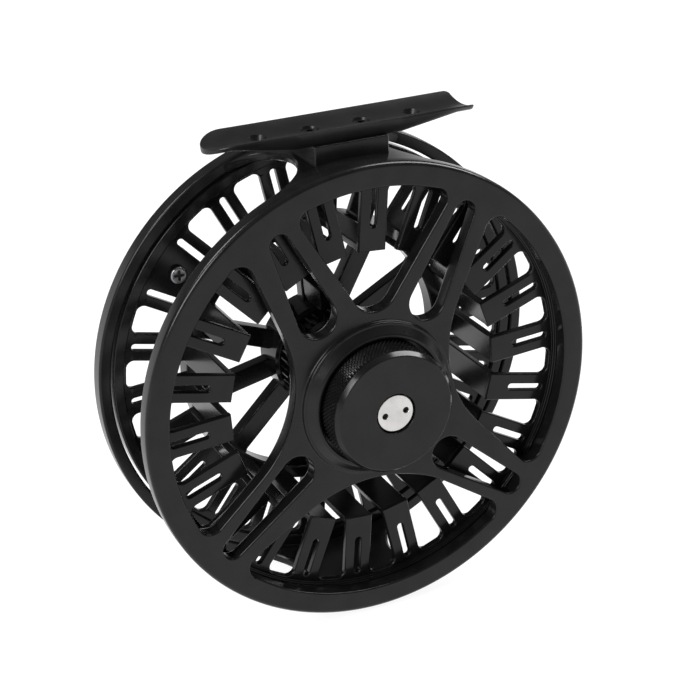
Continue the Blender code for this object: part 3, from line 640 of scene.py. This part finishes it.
def make_foot():
    """The foot: a round nose on the left, a straight end on the right and four countersunk holes."""
    length, width = FOOT_SIZE
    left, right = FOOT_X - length / 2.0, FOOT_X + length / 2.0
    ramp = FOOT_EDGE_Z - FOOT_TIP - FOOT_UNDERSIDE
    nose = width / 2.0
    stations = [left + nose * (1.0 - cos(pi / 2.0 * i / 24)) for i in range(25)]
    stations[0] = left + 0.02
    body_end = right - FOOT_END
    stations += [left + nose + (body_end - left - nose) * i / 40 for i in range(1, 41)]
    stations += [right - FOOT_END * cos(pi / 2.0 * i / 6) for i in range(1, 7)]
    loops = []
    for x in stations:
        into_nose = max(0.0, 1.0 - (x - left) / nose)
        half = width / 2.0 * sqrt(max(0.0, 1.0 - into_nose * into_nose))
        at_end = max(0.0, (x - body_end) / FOOT_END)
        half -= 0.9 * (1.0 - sqrt(max(0.0, 1.0 - at_end * at_end)))
        if x < 0.0:
            lift = ramp * max(0.0, (FOOT_LEVEL_X[0] - x) / (FOOT_LEVEL_X[0] - left))
        else:
            lift = ramp * max(0.0, (x - FOOT_LEVEL_X[1]) / (right - FOOT_LEVEL_X[1]))
        loops.append(foot_section(x, half, lift))
    foot = add_piece("reel_foot_fine", loft(loops), "foot_black", "frame_side", ["reel_foot"])
    seat = FOOT_EDGE_Z - TROUGH_DEPTH
    for x in FOOT_HOLES:
        hole = upright_bar([(1.2, -8.0), (1.2, -1.5), (2.0, 0.1), (2.0, 4.0)], 48)
        cut(foot, hole, (x, FOOT_Y, seat))
    foot.data.shade_smooth()
    foot.data.set_sharp_from_angle(angle=radians(30.0))
    for number, x in enumerate(FOOT_HOLES[1:3], 1):
        make_foot_screw(number, x)


def make_foot_screw(number, x):
    """A countersunk hex-socket screw under the rod."""
    top = FOOT_EDGE_Z - TROUGH_DEPTH - 0.3
    screw = upright_bar([(1.5, 0.0), (1.55, -0.06), (0.85, -0.8), (0.85, -3.0)], 48)
    piece = add_piece(f"foot_screw_{number}_fine", screw, "screw_dark", "frame_side",
                      [f"foot_screw_{number}"], (x, FOOT_Y, top))
    cut(piece, upright_bar([(0.72, -0.55), (0.72, 1.0)], 6), (x, FOOT_Y, top))


# Spool

NEAR_Y = (5.4, 6.9)
FAR_Y = (29.7, 31.3)
ARBOR_R = (31.5, 33.1)
RIB_WIDTH = 6.3
WINDOW_R = (32.0, 46.4)                  # the far flange's windows between the ribs
SLOT_R = (0.70 * RING_R, 0.87 * RING_R)
SLOT_WIDTH = 1.5
SPOKE_WIDTH = 4.6
SPOKE_END_R = 29.9
PAD_GAPS = (8, 19)                       # gaps of the far flange filled for the weight and the handle
TUCK = 0.03                              # how far one skin lies inside another that it continues


def side_turn(width, radius):
    """How far a bar's side lies from its middle at this radius, in degrees."""
    return asin(width / 2.0 / radius) * 180.0 / pi


def outer_side(reach, start, stop, low_first, low_last, corner, clear, pieces):
    """A window's outer side from angle start to stop, with its two corners rounded. The window's
    straight sides run to the two low points, and clear is the angle that each corner takes."""
    first, last = flat(reach, start), flat(reach, stop)
    along = first + flat(5.0, start + 90.0)
    back_along = last + flat(5.0, stop - 90.0)
    rim_start, rim_stop = start + clear, stop - clear
    side = fillet(low_first, first, along, corner, 8)
    side += [flat(reach, rim_start + (rim_stop - rim_start) * i / pieces) for i in range(pieces + 1)]
    return side + fillet(back_along, last, low_last, corner, 8)


def rib_gap(rib, low_first, low_last):
    """The outer side of the gap that follows a rib."""
    reach = WINDOW_R[1]
    middle = RIB_PHASE + rib * RIB_PITCH
    turn = side_turn(RIB_WIDTH, reach)
    return outer_side(reach, middle + turn, middle + RIB_PITCH - turn, low_first, low_last, 1.7, 2.2, 5)


def comb_outline():
    """The inside of the near flange: every rib stands inwards from the rim and ends at the arbor."""
    loop = []
    end_r = sqrt((ARBOR_R[0] - TUCK) ** 2 + (RIB_WIDTH / 2.0) ** 2)
    turn = side_turn(RIB_WIDTH, end_r)
    for rib in range(RIB_COUNT):
        middle = RIB_PHASE + rib * RIB_PITCH
        low_first, low_last = flat(end_r, middle + turn), flat(end_r, middle + RIB_PITCH - turn)
        loop += [flat(end_r, middle - turn), low_first]
        loop += rib_gap(rib, low_first, low_last)
    return loop


def rib_window(rib):
    """A window of the far flange, between two ribs."""
    low, high = WINDOW_R
    middle = RIB_PHASE + rib * RIB_PITCH
    after = middle + RIB_PITCH
    low_turn, high_turn = side_turn(RIB_WIDTH, low), side_turn(RIB_WIDTH, high)
    low_first, low_last = flat(low, middle + low_turn), flat(low, after - low_turn)
    loop = rib_gap(rib, low_first, low_last)
    loop += fillet(flat(high, after - high_turn), low_last, low_first, 0.5, 4)
    loop += fillet(low_last, low_first, flat(high, middle + high_turn), 0.5, 4)
    return loop


def spoke_window(number):
    """A long triangle between two spokes, blunt at the hub."""
    first = SPOKE_PHASE + number * SPOKE_PITCH
    last = first + SPOKE_PITCH
    half = SPOKE_WIDTH / 2.0
    turn = side_turn(SPOKE_WIDTH, SPOKE_END_R)
    tip = flat(half / sin(radians(SPOKE_PITCH / 2.0)), (first + last) / 2.0)
    loop = outer_side(SPOKE_END_R, first + turn, last - turn, tip, tip, 1.6, 3.6, 8)
    near, far = flat(SPOKE_END_R, first + turn), flat(SPOKE_END_R, last - turn)
    return loop + fillet(far, tip, near, 1.15, 10)


def make_spool():
    """The skeleton spool: two slotted flanges with lips, the arbor's bars and ring, spokes and hub."""
    slots = [slot_outline(RIB_PHASE + rib * RIB_PITCH, *SLOT_R, SLOT_WIDTH) for rib in range(RIB_COUNT)]
    near = [(circle(49.0, 220), 0.1, 0.1), (comb_outline(), 0.35, 0.2)]
    near += [(points, 0.3, 0.15) for points in slots]
    add_piece("spool_near_flange", plate(near, *NEAR_Y), "spool_black", "spool", ["spool"])
    lip = rounded([(46.9, 6.0), (46.9, 5.35), (47.7, 5.35), (47.7, 4.6), (FLANGE_R, 4.6),
                   (FLANGE_R, 7.2), (46.9, 7.0)], 0.3, 4)
    add_piece("spool_near_lip", lathe(lip, 220), "spool_black", "spool")
    far = [(circle(49.0, 220), 0.1, 0.1)]
    far += [(rib_window(rib), 0.25, 0.25) for rib in range(RIB_COUNT) if rib not in PAD_GAPS]
    far += [(points, 0.2, 0.2) for points in slots]
    far.append((circle(30.6, 180), 0.1, 0.1))
    add_piece("spool_far_flange", plate(far, *FAR_Y), "spool_black", "spool")
    far_lip = rounded([(47.1, 30.5), (47.1, 28.9), (FLANGE_R, 28.9), (FLANGE_R, 32.9),
                       (48.3, 32.9), (47.7, 31.5), (47.1, 31.5)], 0.35, 4)
    add_piece("spool_far_lip", lathe(far_lip, 220), "spool_black", "spool")
    bars = bmesh.new()
    for rib in range(RIB_COUNT):
        box((ARBOR_R[0], NEAR_Y[0] + TUCK, TUCK - RIB_WIDTH / 2.0),
            (ARBOR_R[1], FAR_Y[1] - TUCK, RIB_WIDTH / 2.0 - TUCK), 0.25,
            out_from_axis(RIB_PHASE + rib * RIB_PITCH), bars)
    add_piece("spool_arbor_bars", bars, "bar_black", "spool")
    ring = rounded([(29.4, 29.5), (32.4, 29.5), (32.4, 34.1), (29.4, 34.1)], 0.35, 4)
    add_piece("spool_arbor_ring", lathe(ring, 180), "spool_black", "spool")
    spider = [(circle(30.4, 180), 0.1, 0.1)]
    spider += [(spoke_window(number), 0.35, 0.35) for number in range(SPOKE_COUNT)]
    spider.append((circle(9.2, 96), 0.1, 0.1))
    add_piece("spool_spokes", plate(spider, 30.6, 33.9), "spool_black", "spool")
    hub = rounded([(8.6, 26.0), (11.6, 26.0), (12.3, 26.7), (12.3, 35.2), (11.5, 36.0), (8.6, 36.0)], 0.3, 4)
    add_piece("spool_hub", lathe(hub, 120), "spool_black", "spool")


# Drag and hub

KNURL_Y = (-7.2, -0.1)
KNURL_R = 13.55                          # at the creases
KNURL_DEPTH = 0.45
KNURL_BACK_R = 13.1
KNURL_COUNT = 94
KNURL_ROWS = 12
GEAR_TEETH = 40
FLUTES = 48
PIN_R = 6.0
PIN_ANGLES = (90.0, 210.0, 330.0)
SCREW_R = 11.8
SCREW_ANGLES = (30.0, 150.0, 270.0)


def knurled_band(radius, depth, y0, y1, columns, rows, builder):
    """Diamond knurling: every other point of a fine grid stands out, and the creases run between
    the low points."""
    grid = []
    for row in range(rows + 1):
        y = y0 + (y1 - y0) * row / rows
        line = []
        for c in range(columns):
            high = (row + c) % 2 == 1 and 0 < row < rows
            line.append(builder.verts.new(polar(radius + (depth if high else 0.0), 360.0 * c / columns, y)))
        grid.append(line)
    for row in range(rows):
        for c in range(columns):
            k = (c + 1) % columns
            a, b, d, e = grid[row][c], grid[row][k], grid[row + 1][k], grid[row + 1][c]
            if (row + c) % 2 == 0:
                builder.faces.new((a, b, d))
                builder.faces.new((a, d, e))
            else:
                builder.faces.new((a, b, e))
                builder.faces.new((b, d, e))
    return grid


def make_knob():
    """The knob: a knurled sleeve on a turned body, with a silver disc in its face."""
    knurl = bmesh.new()
    columns = 2 * KNURL_COUNT
    grid = knurled_band(KNURL_R, KNURL_DEPTH, *KNURL_Y, columns, KNURL_ROWS, knurl)
    inner = [[knurl.verts.new(polar(KNURL_BACK_R, 360.0 * c / columns, y)) for c in range(columns)]
             for y in KNURL_Y]
    for c in range(columns):
        k = (c + 1) % columns
        knurl.faces.new((grid[0][c], grid[0][k], inner[0][k], inner[0][c]))
        knurl.faces.new((grid[-1][c], grid[-1][k], inner[1][k], inner[1][c]))
        knurl.faces.new((inner[0][c], inner[0][k], inner[1][k], inner[1][c]))
    add_piece("drag_knob_knurl", knurl, "knurl_black", "knob", sharp=8.0)
    body = [Vector(p) for p in ((3.4, -0.1), (8.5, -0.1), (8.5, -6.4), (12.4, -6.4), (12.4, 0.3),
                                (13.3, 0.3), (13.6, -0.1), (13.3, -0.4), (13.3, -7.0), (13.6, -7.3))]
    side, brink, rim, face = (Vector(p) for p in ((13.9, -7.5), (13.9, -8.05), (13.1, -9.2), (4.6, -9.2)))
    body += fillet(Vector((13.6, -7.3)), side, brink, 0.15, 3)
    body += fillet(side, brink, rim, 0.3, 4)
    body += fillet(brink, rim, face, 0.35, 5)
    body += fillet(rim, face, Vector((4.6, -7.4)), 0.15, 3)
    body += [Vector((4.6, -7.4)), Vector((3.4, -7.4))]
    add_piece("drag_knob_body", lathe(body, 200), "knob_black", "knob", ["drag_knob"], sharp=60.0)
    outline = [(circle(4.2, 96), 0.18, 0.1)]
    outline += [(circle(0.68, 32, flat(2.45, angle)), 0.1, 0.02) for angle in (5.0, 185.0)]
    cap = plate(outline, -8.9, -8.0)
    add_piece("knob_cap_fine", cap, "silver", "knob", ["knob_cap"])
    # A matt black disc just behind the cap: painted shade that darkens the cap's two holes.
    shade_disc = lathe([(0.0, -8.1), (4.15, -8.1), (4.15, -7.75), (0.0, -7.75)], 96)
    add_piece("knob_cap_shade_disc", shade_disc, "seal_rubber", "knob")


# Each turned piece: node, finish, body, edge radius and (radius, y) profile.
TURNED = (
    ("drag_housing", "inner_black", "frame_side", 0.3,
     [(3.3, 1.3), (8.7, 1.3), (8.7, 4.9), (14.0, 4.9), (14.0, 7.3), (12.0, 7.3), (12.0, 10.0),
      (11.7, 10.3), (11.7, 17.0), (12.0, 17.3), (12.0, 19.6), (10.7, 19.6), (10.7, 7.8), (3.3, 7.8)]),
    ("housing_cover", "inner_black", "frame_side", 0.2,
     [(5.7, 16.2), (10.4, 16.2), (10.4, 19.2), (7.6, 19.2), (7.6, 17.2), (5.7, 17.2)]),
    ("shaft_seal", "seal_rubber", "frame_side", 0.2,
     [(5.3, 17.5), (7.3, 17.5), (7.3, 18.9), (6.4, 18.9), (5.9, 18.5), (5.3, 18.9)]),
    ("spindle", "bright_steel", "frame_side", 0.15,
     [(0.0, -7.1), (2.6, -7.1), (3.0, -6.7), (3.0, 36.2), (2.7, 36.4), (2.7, 37.0), (3.0, 37.2),
      (3.0, 37.6), (2.6, 38.0), (0.0, 38.0)]),
    ("friction_disc_rear", "friction", "frame_side", 0.1,
     [(5.3, 14.9), (10.2, 14.9), (10.2, 15.6), (5.3, 15.6)]),
    ("friction_disc_front", "friction", "presser", 0.1,
     [(5.3, 12.6), (10.2, 12.6), (10.2, 13.1), (5.3, 13.1)]),
    ("pressure_plate", "screw_dark", "presser", 0.15,
     [(3.5, 11.1), (10.2, 11.1), (10.2, 12.2), (3.5, 12.2)]),
    ("disc_spring", "bright_steel", "presser", 0.1,
     [(4.2, 9.3), (9.8, 10.3), (9.8, 10.8), (4.2, 9.8)]),
    ("drag_rotor", "bright_steel", "rotor", 0.2,
     [(3.3, 12.6), (5.0, 12.6), (5.0, 13.4), (10.2, 13.4), (10.2, 14.6), (5.0, 14.6),
      (5.0, 20.4), (4.8, 20.6), (4.8, 21.2), (5.0, 21.4), (5.0, 32.6), (3.3, 32.6)]),
    ("front_bearing", "bright_steel", "spool", 0.12,
     [(5.3, 26.3), (6.1, 26.3), (6.1, 26.55), (7.5, 26.55), (7.5, 26.3), (8.3, 26.3),
      (8.3, 28.1), (7.5, 28.1), (7.5, 27.85), (6.1, 27.85), (6.1, 28.1), (5.3, 28.1)]),
    ("one_way_clutch", "bright_steel", "spool", 0.12,
     [(5.3, 28.4), (6.1, 28.4), (6.1, 28.65), (7.5, 28.65), (7.5, 28.4), (8.3, 28.4),
      (8.3, 32.4), (7.5, 32.4), (7.5, 32.15), (6.1, 32.15), (6.1, 32.4), (5.3, 32.4)]),
    ("rear_bearing", "bright_steel", "spool", 0.12,
     [(3.3, 33.0), (4.7, 33.0), (4.7, 33.25), (6.9, 33.25), (6.9, 33.0), (8.3, 33.0),
      (8.3, 35.7), (6.9, 35.7), (6.9, 35.45), (4.7, 35.45), (4.7, 35.7), (3.3, 35.7)]),
)


def make_turned():
    """The turned pieces of the table, the thrust pins and the housing screws."""
    for name, finish, body, edge, profile in TURNED:
        add_piece(f"{name}_fine", lathe(rounded(profile, edge, 3), 120), finish, body, [name])
    for number, angle in enumerate(PIN_ANGLES, 1):
        pin = rounded([(0.0, 0.35), (0.85, 0.35), (0.85, 8.85), (0.0, 8.85)], 0.3, 4)
        add_piece(f"thrust_pin_{number}_fine", lathe(pin, 32), "bright_steel", "presser",
                  [f"thrust_pin_{number}"], polar(PIN_R, angle))
    for number, angle in enumerate(SCREW_ANGLES, 1):
        screw = rounded([(0.0, 1.3), (1.65, 1.3), (1.65, 1.5), (0.85, 2.4), (0.85, 6.7), (0.0, 6.7)], 0.06, 2)
        add_piece(f"housing_screw_{number}_fine", lathe(screw, 40), "screw_dark", "frame_side",
                  [f"housing_screw_{number}"], polar(SCREW_R, angle))


def make_click_gear():
    """The gear behind the plunger's tip, just clear of it: a gap between two teeth faces the tip."""
    teeth = []
    for tooth in range(GEAR_TEETH):
        middle = PLUNGER_ANGLE + 360.0 / GEAR_TEETH * (tooth + 0.5)
        for part, radius in ((-0.27, 10.6), (-0.1, 11.5), (0.1, 11.5), (0.27, 10.6)):
            teeth.append(flat(radius, middle + part * 360.0 / GEAR_TEETH))
    gear = plate([(teeth, 0.12, 0.12), (circle(5.3, 96), 0.15, 0.15)], 22.0, 25.4)
    add_piece("click_gear_fine", gear, "screw_dark", "rotor", ["click_gear"], sharp=25.0)


def make_spool_cap():
    """The cap that lets the spool off: fine straight fluting round the side and a dished face."""
    profile = rounded([(0.0, 38.4), (3.4, 38.4), (3.4, 36.3), (8.2, 36.3), (8.45, 36.6), (8.45, 38.7),
                       (7.9, 39.5), (5.6, 39.6), (5.0, 39.1), (0.0, 39.1)], 0.25, 4)
    add_piece("spool_cap_body", lathe(profile, 144), "inner_black", "release_cap", ["spool_cap"])
    flutes = bmesh.new()
    for number in range(FLUTES):
        box((8.2, 36.7, -0.22), (8.6, 38.6, 0.22), 0.12, out_from_axis(360.0 / FLUTES * number), flutes)
    add_piece("spool_cap_fluting", flutes, "inner_black", "release_cap")


def plunger_bar(sections, base):
    """A round bar along the plunger's line: sections hold (radius, distance)."""
    steps = 40
    out, side = polar(1.0, PLUNGER_ANGLE), polar(1.0, PLUNGER_ANGLE + 90.0)
    up = out.cross(side)
    loops = [[base + out * distance + side * (radius * cos(2.0 * pi * i / steps))
              + up * (radius * sin(2.0 * pi * i / steps)) for i in range(steps)]
             for radius, distance in sections]
    return loft(loops)


def make_clicker():
    """The block on the hub with the plunger and its spring in a bore."""
    base = polar(12.9, PLUNGER_ANGLE, 23.7)
    out, side = polar(1.0, PLUNGER_ANGLE), polar(1.0, PLUNGER_ANGLE + 90.0)
    up = out.cross(side)
    place = out_from_axis(PLUNGER_ANGLE, base)
    outline = [Vector(p) for p in ((0.0, -2.2), (5.2, -2.2), (5.2, 6.6), (1.6, 6.6), (0.0, 5.0))]
    block = plate([(outline, 0.25, 0.25)], -2.0, 2.0, lambda a, s, b: place((a, b, s)))
    piece = add_piece("plunger_block_fine", block, "inner_black", "spool", ["plunger_block"])
    cut(piece, plunger_bar([(1.15, -1.0), (1.15, 3.9)], base))
    plunger = plunger_bar([(0.22, -1.3), (0.4, -1.22), (0.75, -0.8), (0.75, 1.0)], base)
    add_piece("click_plunger_fine", plunger, "bright_steel", "plunger", ["click_plunger"])
    turns, wire, reach, steps = 5, 0.12, 0.75, 20
    loops = []
    for step in range(turns * steps + 1):
        turn = 2.0 * pi * step / steps
        spread = side * cos(turn) + up * sin(turn)
        centre = base + out * (1.7 + 1.8 * step / (turns * steps)) + spread * reach
        loops.append([centre + (spread * cos(pi / 4.0 * k) + out * sin(pi / 4.0 * k)) * wire
                      for k in range(8)])
    add_piece("plunger_spring_fine", loft(loops), "bright_steel", "spool", ["plunger_spring"])


# Handle side

def cross_outline(reach, width):
    """The outline of a cross recess."""
    half = width / 2.0
    quarter = [Vector((reach, -half)), Vector((reach, half)), Vector((half * 1.35, half * 1.35))]
    loop = []
    for turn in range(4):
        rotation = Matrix.Rotation(pi / 2.0 * turn, 2)
        loop += [rotation @ p for p in quarter]
    return loop


def make_cross_screw(name, place, reach):
    """A pan-head screw seen from the front, with a cross recess."""
    head = plate([(circle(1.95, 64), 0.4, 0.05), (cross_outline(1.25, 0.55), 0.08, 0.02)], 28.3, 28.9)
    add_piece(f"{name}_head", head, "screw_steel", "spool", [name], place)
    shank = rounded([(0.0, 28.8), (1.9, 28.8), (1.95, 29.4), (1.2, 29.4), (1.2, reach), (0.0, reach)], 0.1, 2)
    add_piece(f"{name}_shank", lathe(shank, 48), "screw_dark", "spool", (), place)


def make_handle():
    """The handle on its post and washer, the counterweight opposite, and the screw of each."""
    handle_at, weight_at = polar(HANDLE_R, HANDLE_ANGLE), polar(HANDLE_R, WEIGHT_ANGLE)
    post = [(1.5, 31.6), (3.2, 31.6), (3.2, 32.8), (2.2, 32.8), (2.2, 54.2), (3.6, 54.2), (3.6, 55.4),
            (0.0, 55.4), (0.0, 38.6), (1.5, 38.6)]
    add_piece("handle_post_fine", lathe(rounded(post, 0.2, 3), 72), "bright_steel", "spool",
              ["handle_post"], handle_at)
    outside = [(5.0, 34.0), (5.9, 34.8), (6.1, 36.6), (5.3, 41.0), (5.2, 45.0), (6.2, 51.0), (6.9, 54.0),
               (6.6, 56.2), (5.6, 57.0)]
    grip = [Vector((2.5, 34.0))] + smooth_curve(outside, 8)
    grip += [Vector((4.4, 57.0)), Vector((4.0, 56.6)), Vector((4.0, 53.8)), Vector((2.5, 53.8))]
    add_piece("handle_knob_fine", lathe(grip, 96), "grip_black", "handle", ["handle_knob"], handle_at)
    washer = rounded([(2.5, 33.1), (4.2, 33.1), (4.2, 33.7), (2.5, 33.7)], 0.12, 3)
    add_piece("handle_washer_fine", lathe(washer, 72), "brass", "spool", ["handle_washer"], handle_at)
    weight = [(1.5, 31.6), (4.6, 31.6), (5.1, 32.1), (5.1, 34.6), (4.4, 35.4), (2.6, 35.4), (2.3, 35.1),
              (0.0, 35.1), (0.0, 34.2), (1.5, 34.2)]
    add_piece("counterweight_fine", lathe(rounded(weight, 0.3, 4), 96), "inner_black", "spool",
              ["counterweight"], weight_at)
    make_cross_screw("handle_screw", handle_at, 38.0)
    make_cross_screw("counterweight_screw", weight_at, 33.8)


def smooth_curve(points, steps):
    """A Catmull-Rom curve through points."""
    spots = [Vector(p) for p in points]
    spots = [spots[0] * 2.0 - spots[1]] + spots + [spots[-1] * 2.0 - spots[-2]]
    out = []
    for a, b, c, d in zip(spots, spots[1:], spots[2:], spots[3:]):
        for i in range(steps):
            t = i / steps
            out.append(0.5 * (2.0 * b + (c - a) * t + (2.0 * a - 5.0 * b + 4.0 * c - d) * t * t
                              + (3.0 * b - a - 3.0 * c + d) * t * t * t))
    return out + [spots[-2]]


make_plate()
make_collar()
make_back_ring()
make_bridge("frame_bridge_top", 90.0, 10.5)
make_bridge("frame_bridge_bottom", 270.0, 11.4)
make_stem()
make_foot()
make_spool()
make_knob()
make_turned()
make_click_gear()
make_spool_cap()
make_clicker()
make_handle()


# Floor, light and camera

FLOOR_SIZE = 6.0                         # half its width in metres
FLOOR_GAP = 0.0005
FLOOR_GLOW = 0.92
LIGHT_DISTANCE = 0.9


def make_floor():
    """A wide pale light table under the reel, so that shadows stay faint."""
    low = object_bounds()[0]
    builder = bmesh.new()
    bmesh.ops.create_grid(builder, x_segments=1, y_segments=1, size=FLOOR_SIZE)
    mesh = bpy.data.meshes.new("floor")
    builder.to_mesh(mesh)
    builder.free()
    floor = bpy.data.objects.new("floor", mesh)
    floor.location = (0.0, 0.0, low[2] - FLOOR_GAP)
    bpy.context.scene.collection.objects.link(floor)
    material, _, shader = new_material("floor_white", (0.18, 0.18, 0.18), 0.9, 0.0, 0.0)
    shader.inputs["Emission Color"].default_value = (1.0, 1.0, 1.0, 1.0)
    shader.inputs["Emission Strength"].default_value = FLOOR_GLOW
    mesh.materials.append(material)


def make_world():
    """A dim room above a bright horizon: brightness follows the height of a direction."""
    world = bpy.data.worlds.new("studio")
    world.use_nodes = True
    tree = world.node_tree
    place = node(tree, "ShaderNodeTexCoord")
    split = node(tree, "ShaderNodeSeparateXYZ")
    tree.links.new(place.outputs["Generated"], split.inputs["Vector"])
    ramp = node(tree, "ShaderNodeValToRGB")
    stops = ((0.0, 1.0), (0.05, 1.0), (0.20, 0.10), (1.0, 0.16))
    while len(ramp.color_ramp.elements) < len(stops):
        ramp.color_ramp.elements.new(0.5)
    for element, (position, value) in zip(ramp.color_ramp.elements, stops):
        element.position = position
        element.color = (value, value, value, 1.0)
    tree.links.new(split.outputs["Z"], ramp.inputs["Fac"])
    tree.links.new(ramp.outputs["Color"], tree.nodes["Background"].inputs["Color"])
    bpy.context.scene.world = world


def make_light(name, azimuth, elevation, size, power):
    """A soft box round the reel: azimuth is measured from the front plate's side towards +X."""
    turn, rise = radians(azimuth), radians(elevation)
    middle = AXIS + Vector((0.0, 0.015, 0.0))
    back = Vector((sin(turn) * cos(rise), -cos(turn) * cos(rise), sin(rise)))
    lamp = bpy.data.lights.new(name, 'AREA')
    lamp.shape = 'RECTANGLE'
    lamp.size, lamp.size_y = size
    lamp.energy = power
    light = bpy.data.objects.new(name, lamp)
    light.location = middle + back * LIGHT_DISTANCE
    light.rotation_euler = (-back).to_track_quat('-Z', 'Y').to_euler()
    bpy.context.scene.collection.objects.link(light)


def make_camera():
    """The camera looks down on the front plate from its left. Distances are in ring radii."""
    azimuth, elevation, roll = radians(-24.71), radians(24.01), radians(-2.05)
    distance, aim = 7.273, Vector((-0.136, 0.0, 0.266))
    back = Vector((sin(azimuth) * cos(elevation), -cos(azimuth) * cos(elevation), sin(elevation)))
    right = (-back).cross(Vector((0.0, 0.0, 1.0))).normalized()
    up = right.cross(-back)
    across = right * cos(roll) + up * sin(roll)
    upward = up * cos(roll) - right * sin(roll)
    lens = bpy.data.cameras.new("camera")
    lens.sensor_width = 36.0
    lens.lens = 94.49
    camera = bpy.data.objects.new("camera", lens)
    turn = Matrix((across, upward, back)).transposed().to_4x4()
    centre = AXIS + (aim + back * distance) * (RING_R * MM)
    camera.matrix_world = Matrix.Translation(centre) @ turn
    bpy.context.scene.collection.objects.link(camera)
    bpy.context.scene.camera = camera


make_floor()
make_world()
make_light("left", -63.0, 31.0, (0.30, 0.46), 5.5)
make_light("right", 92.0, 48.0, (0.30, 0.66), 9.0)
make_light("back", -118.0, 48.0, (0.30, 0.30), 4.0)
make_camera()
bpy.context.scene.view_settings.view_transform = 'Standard'
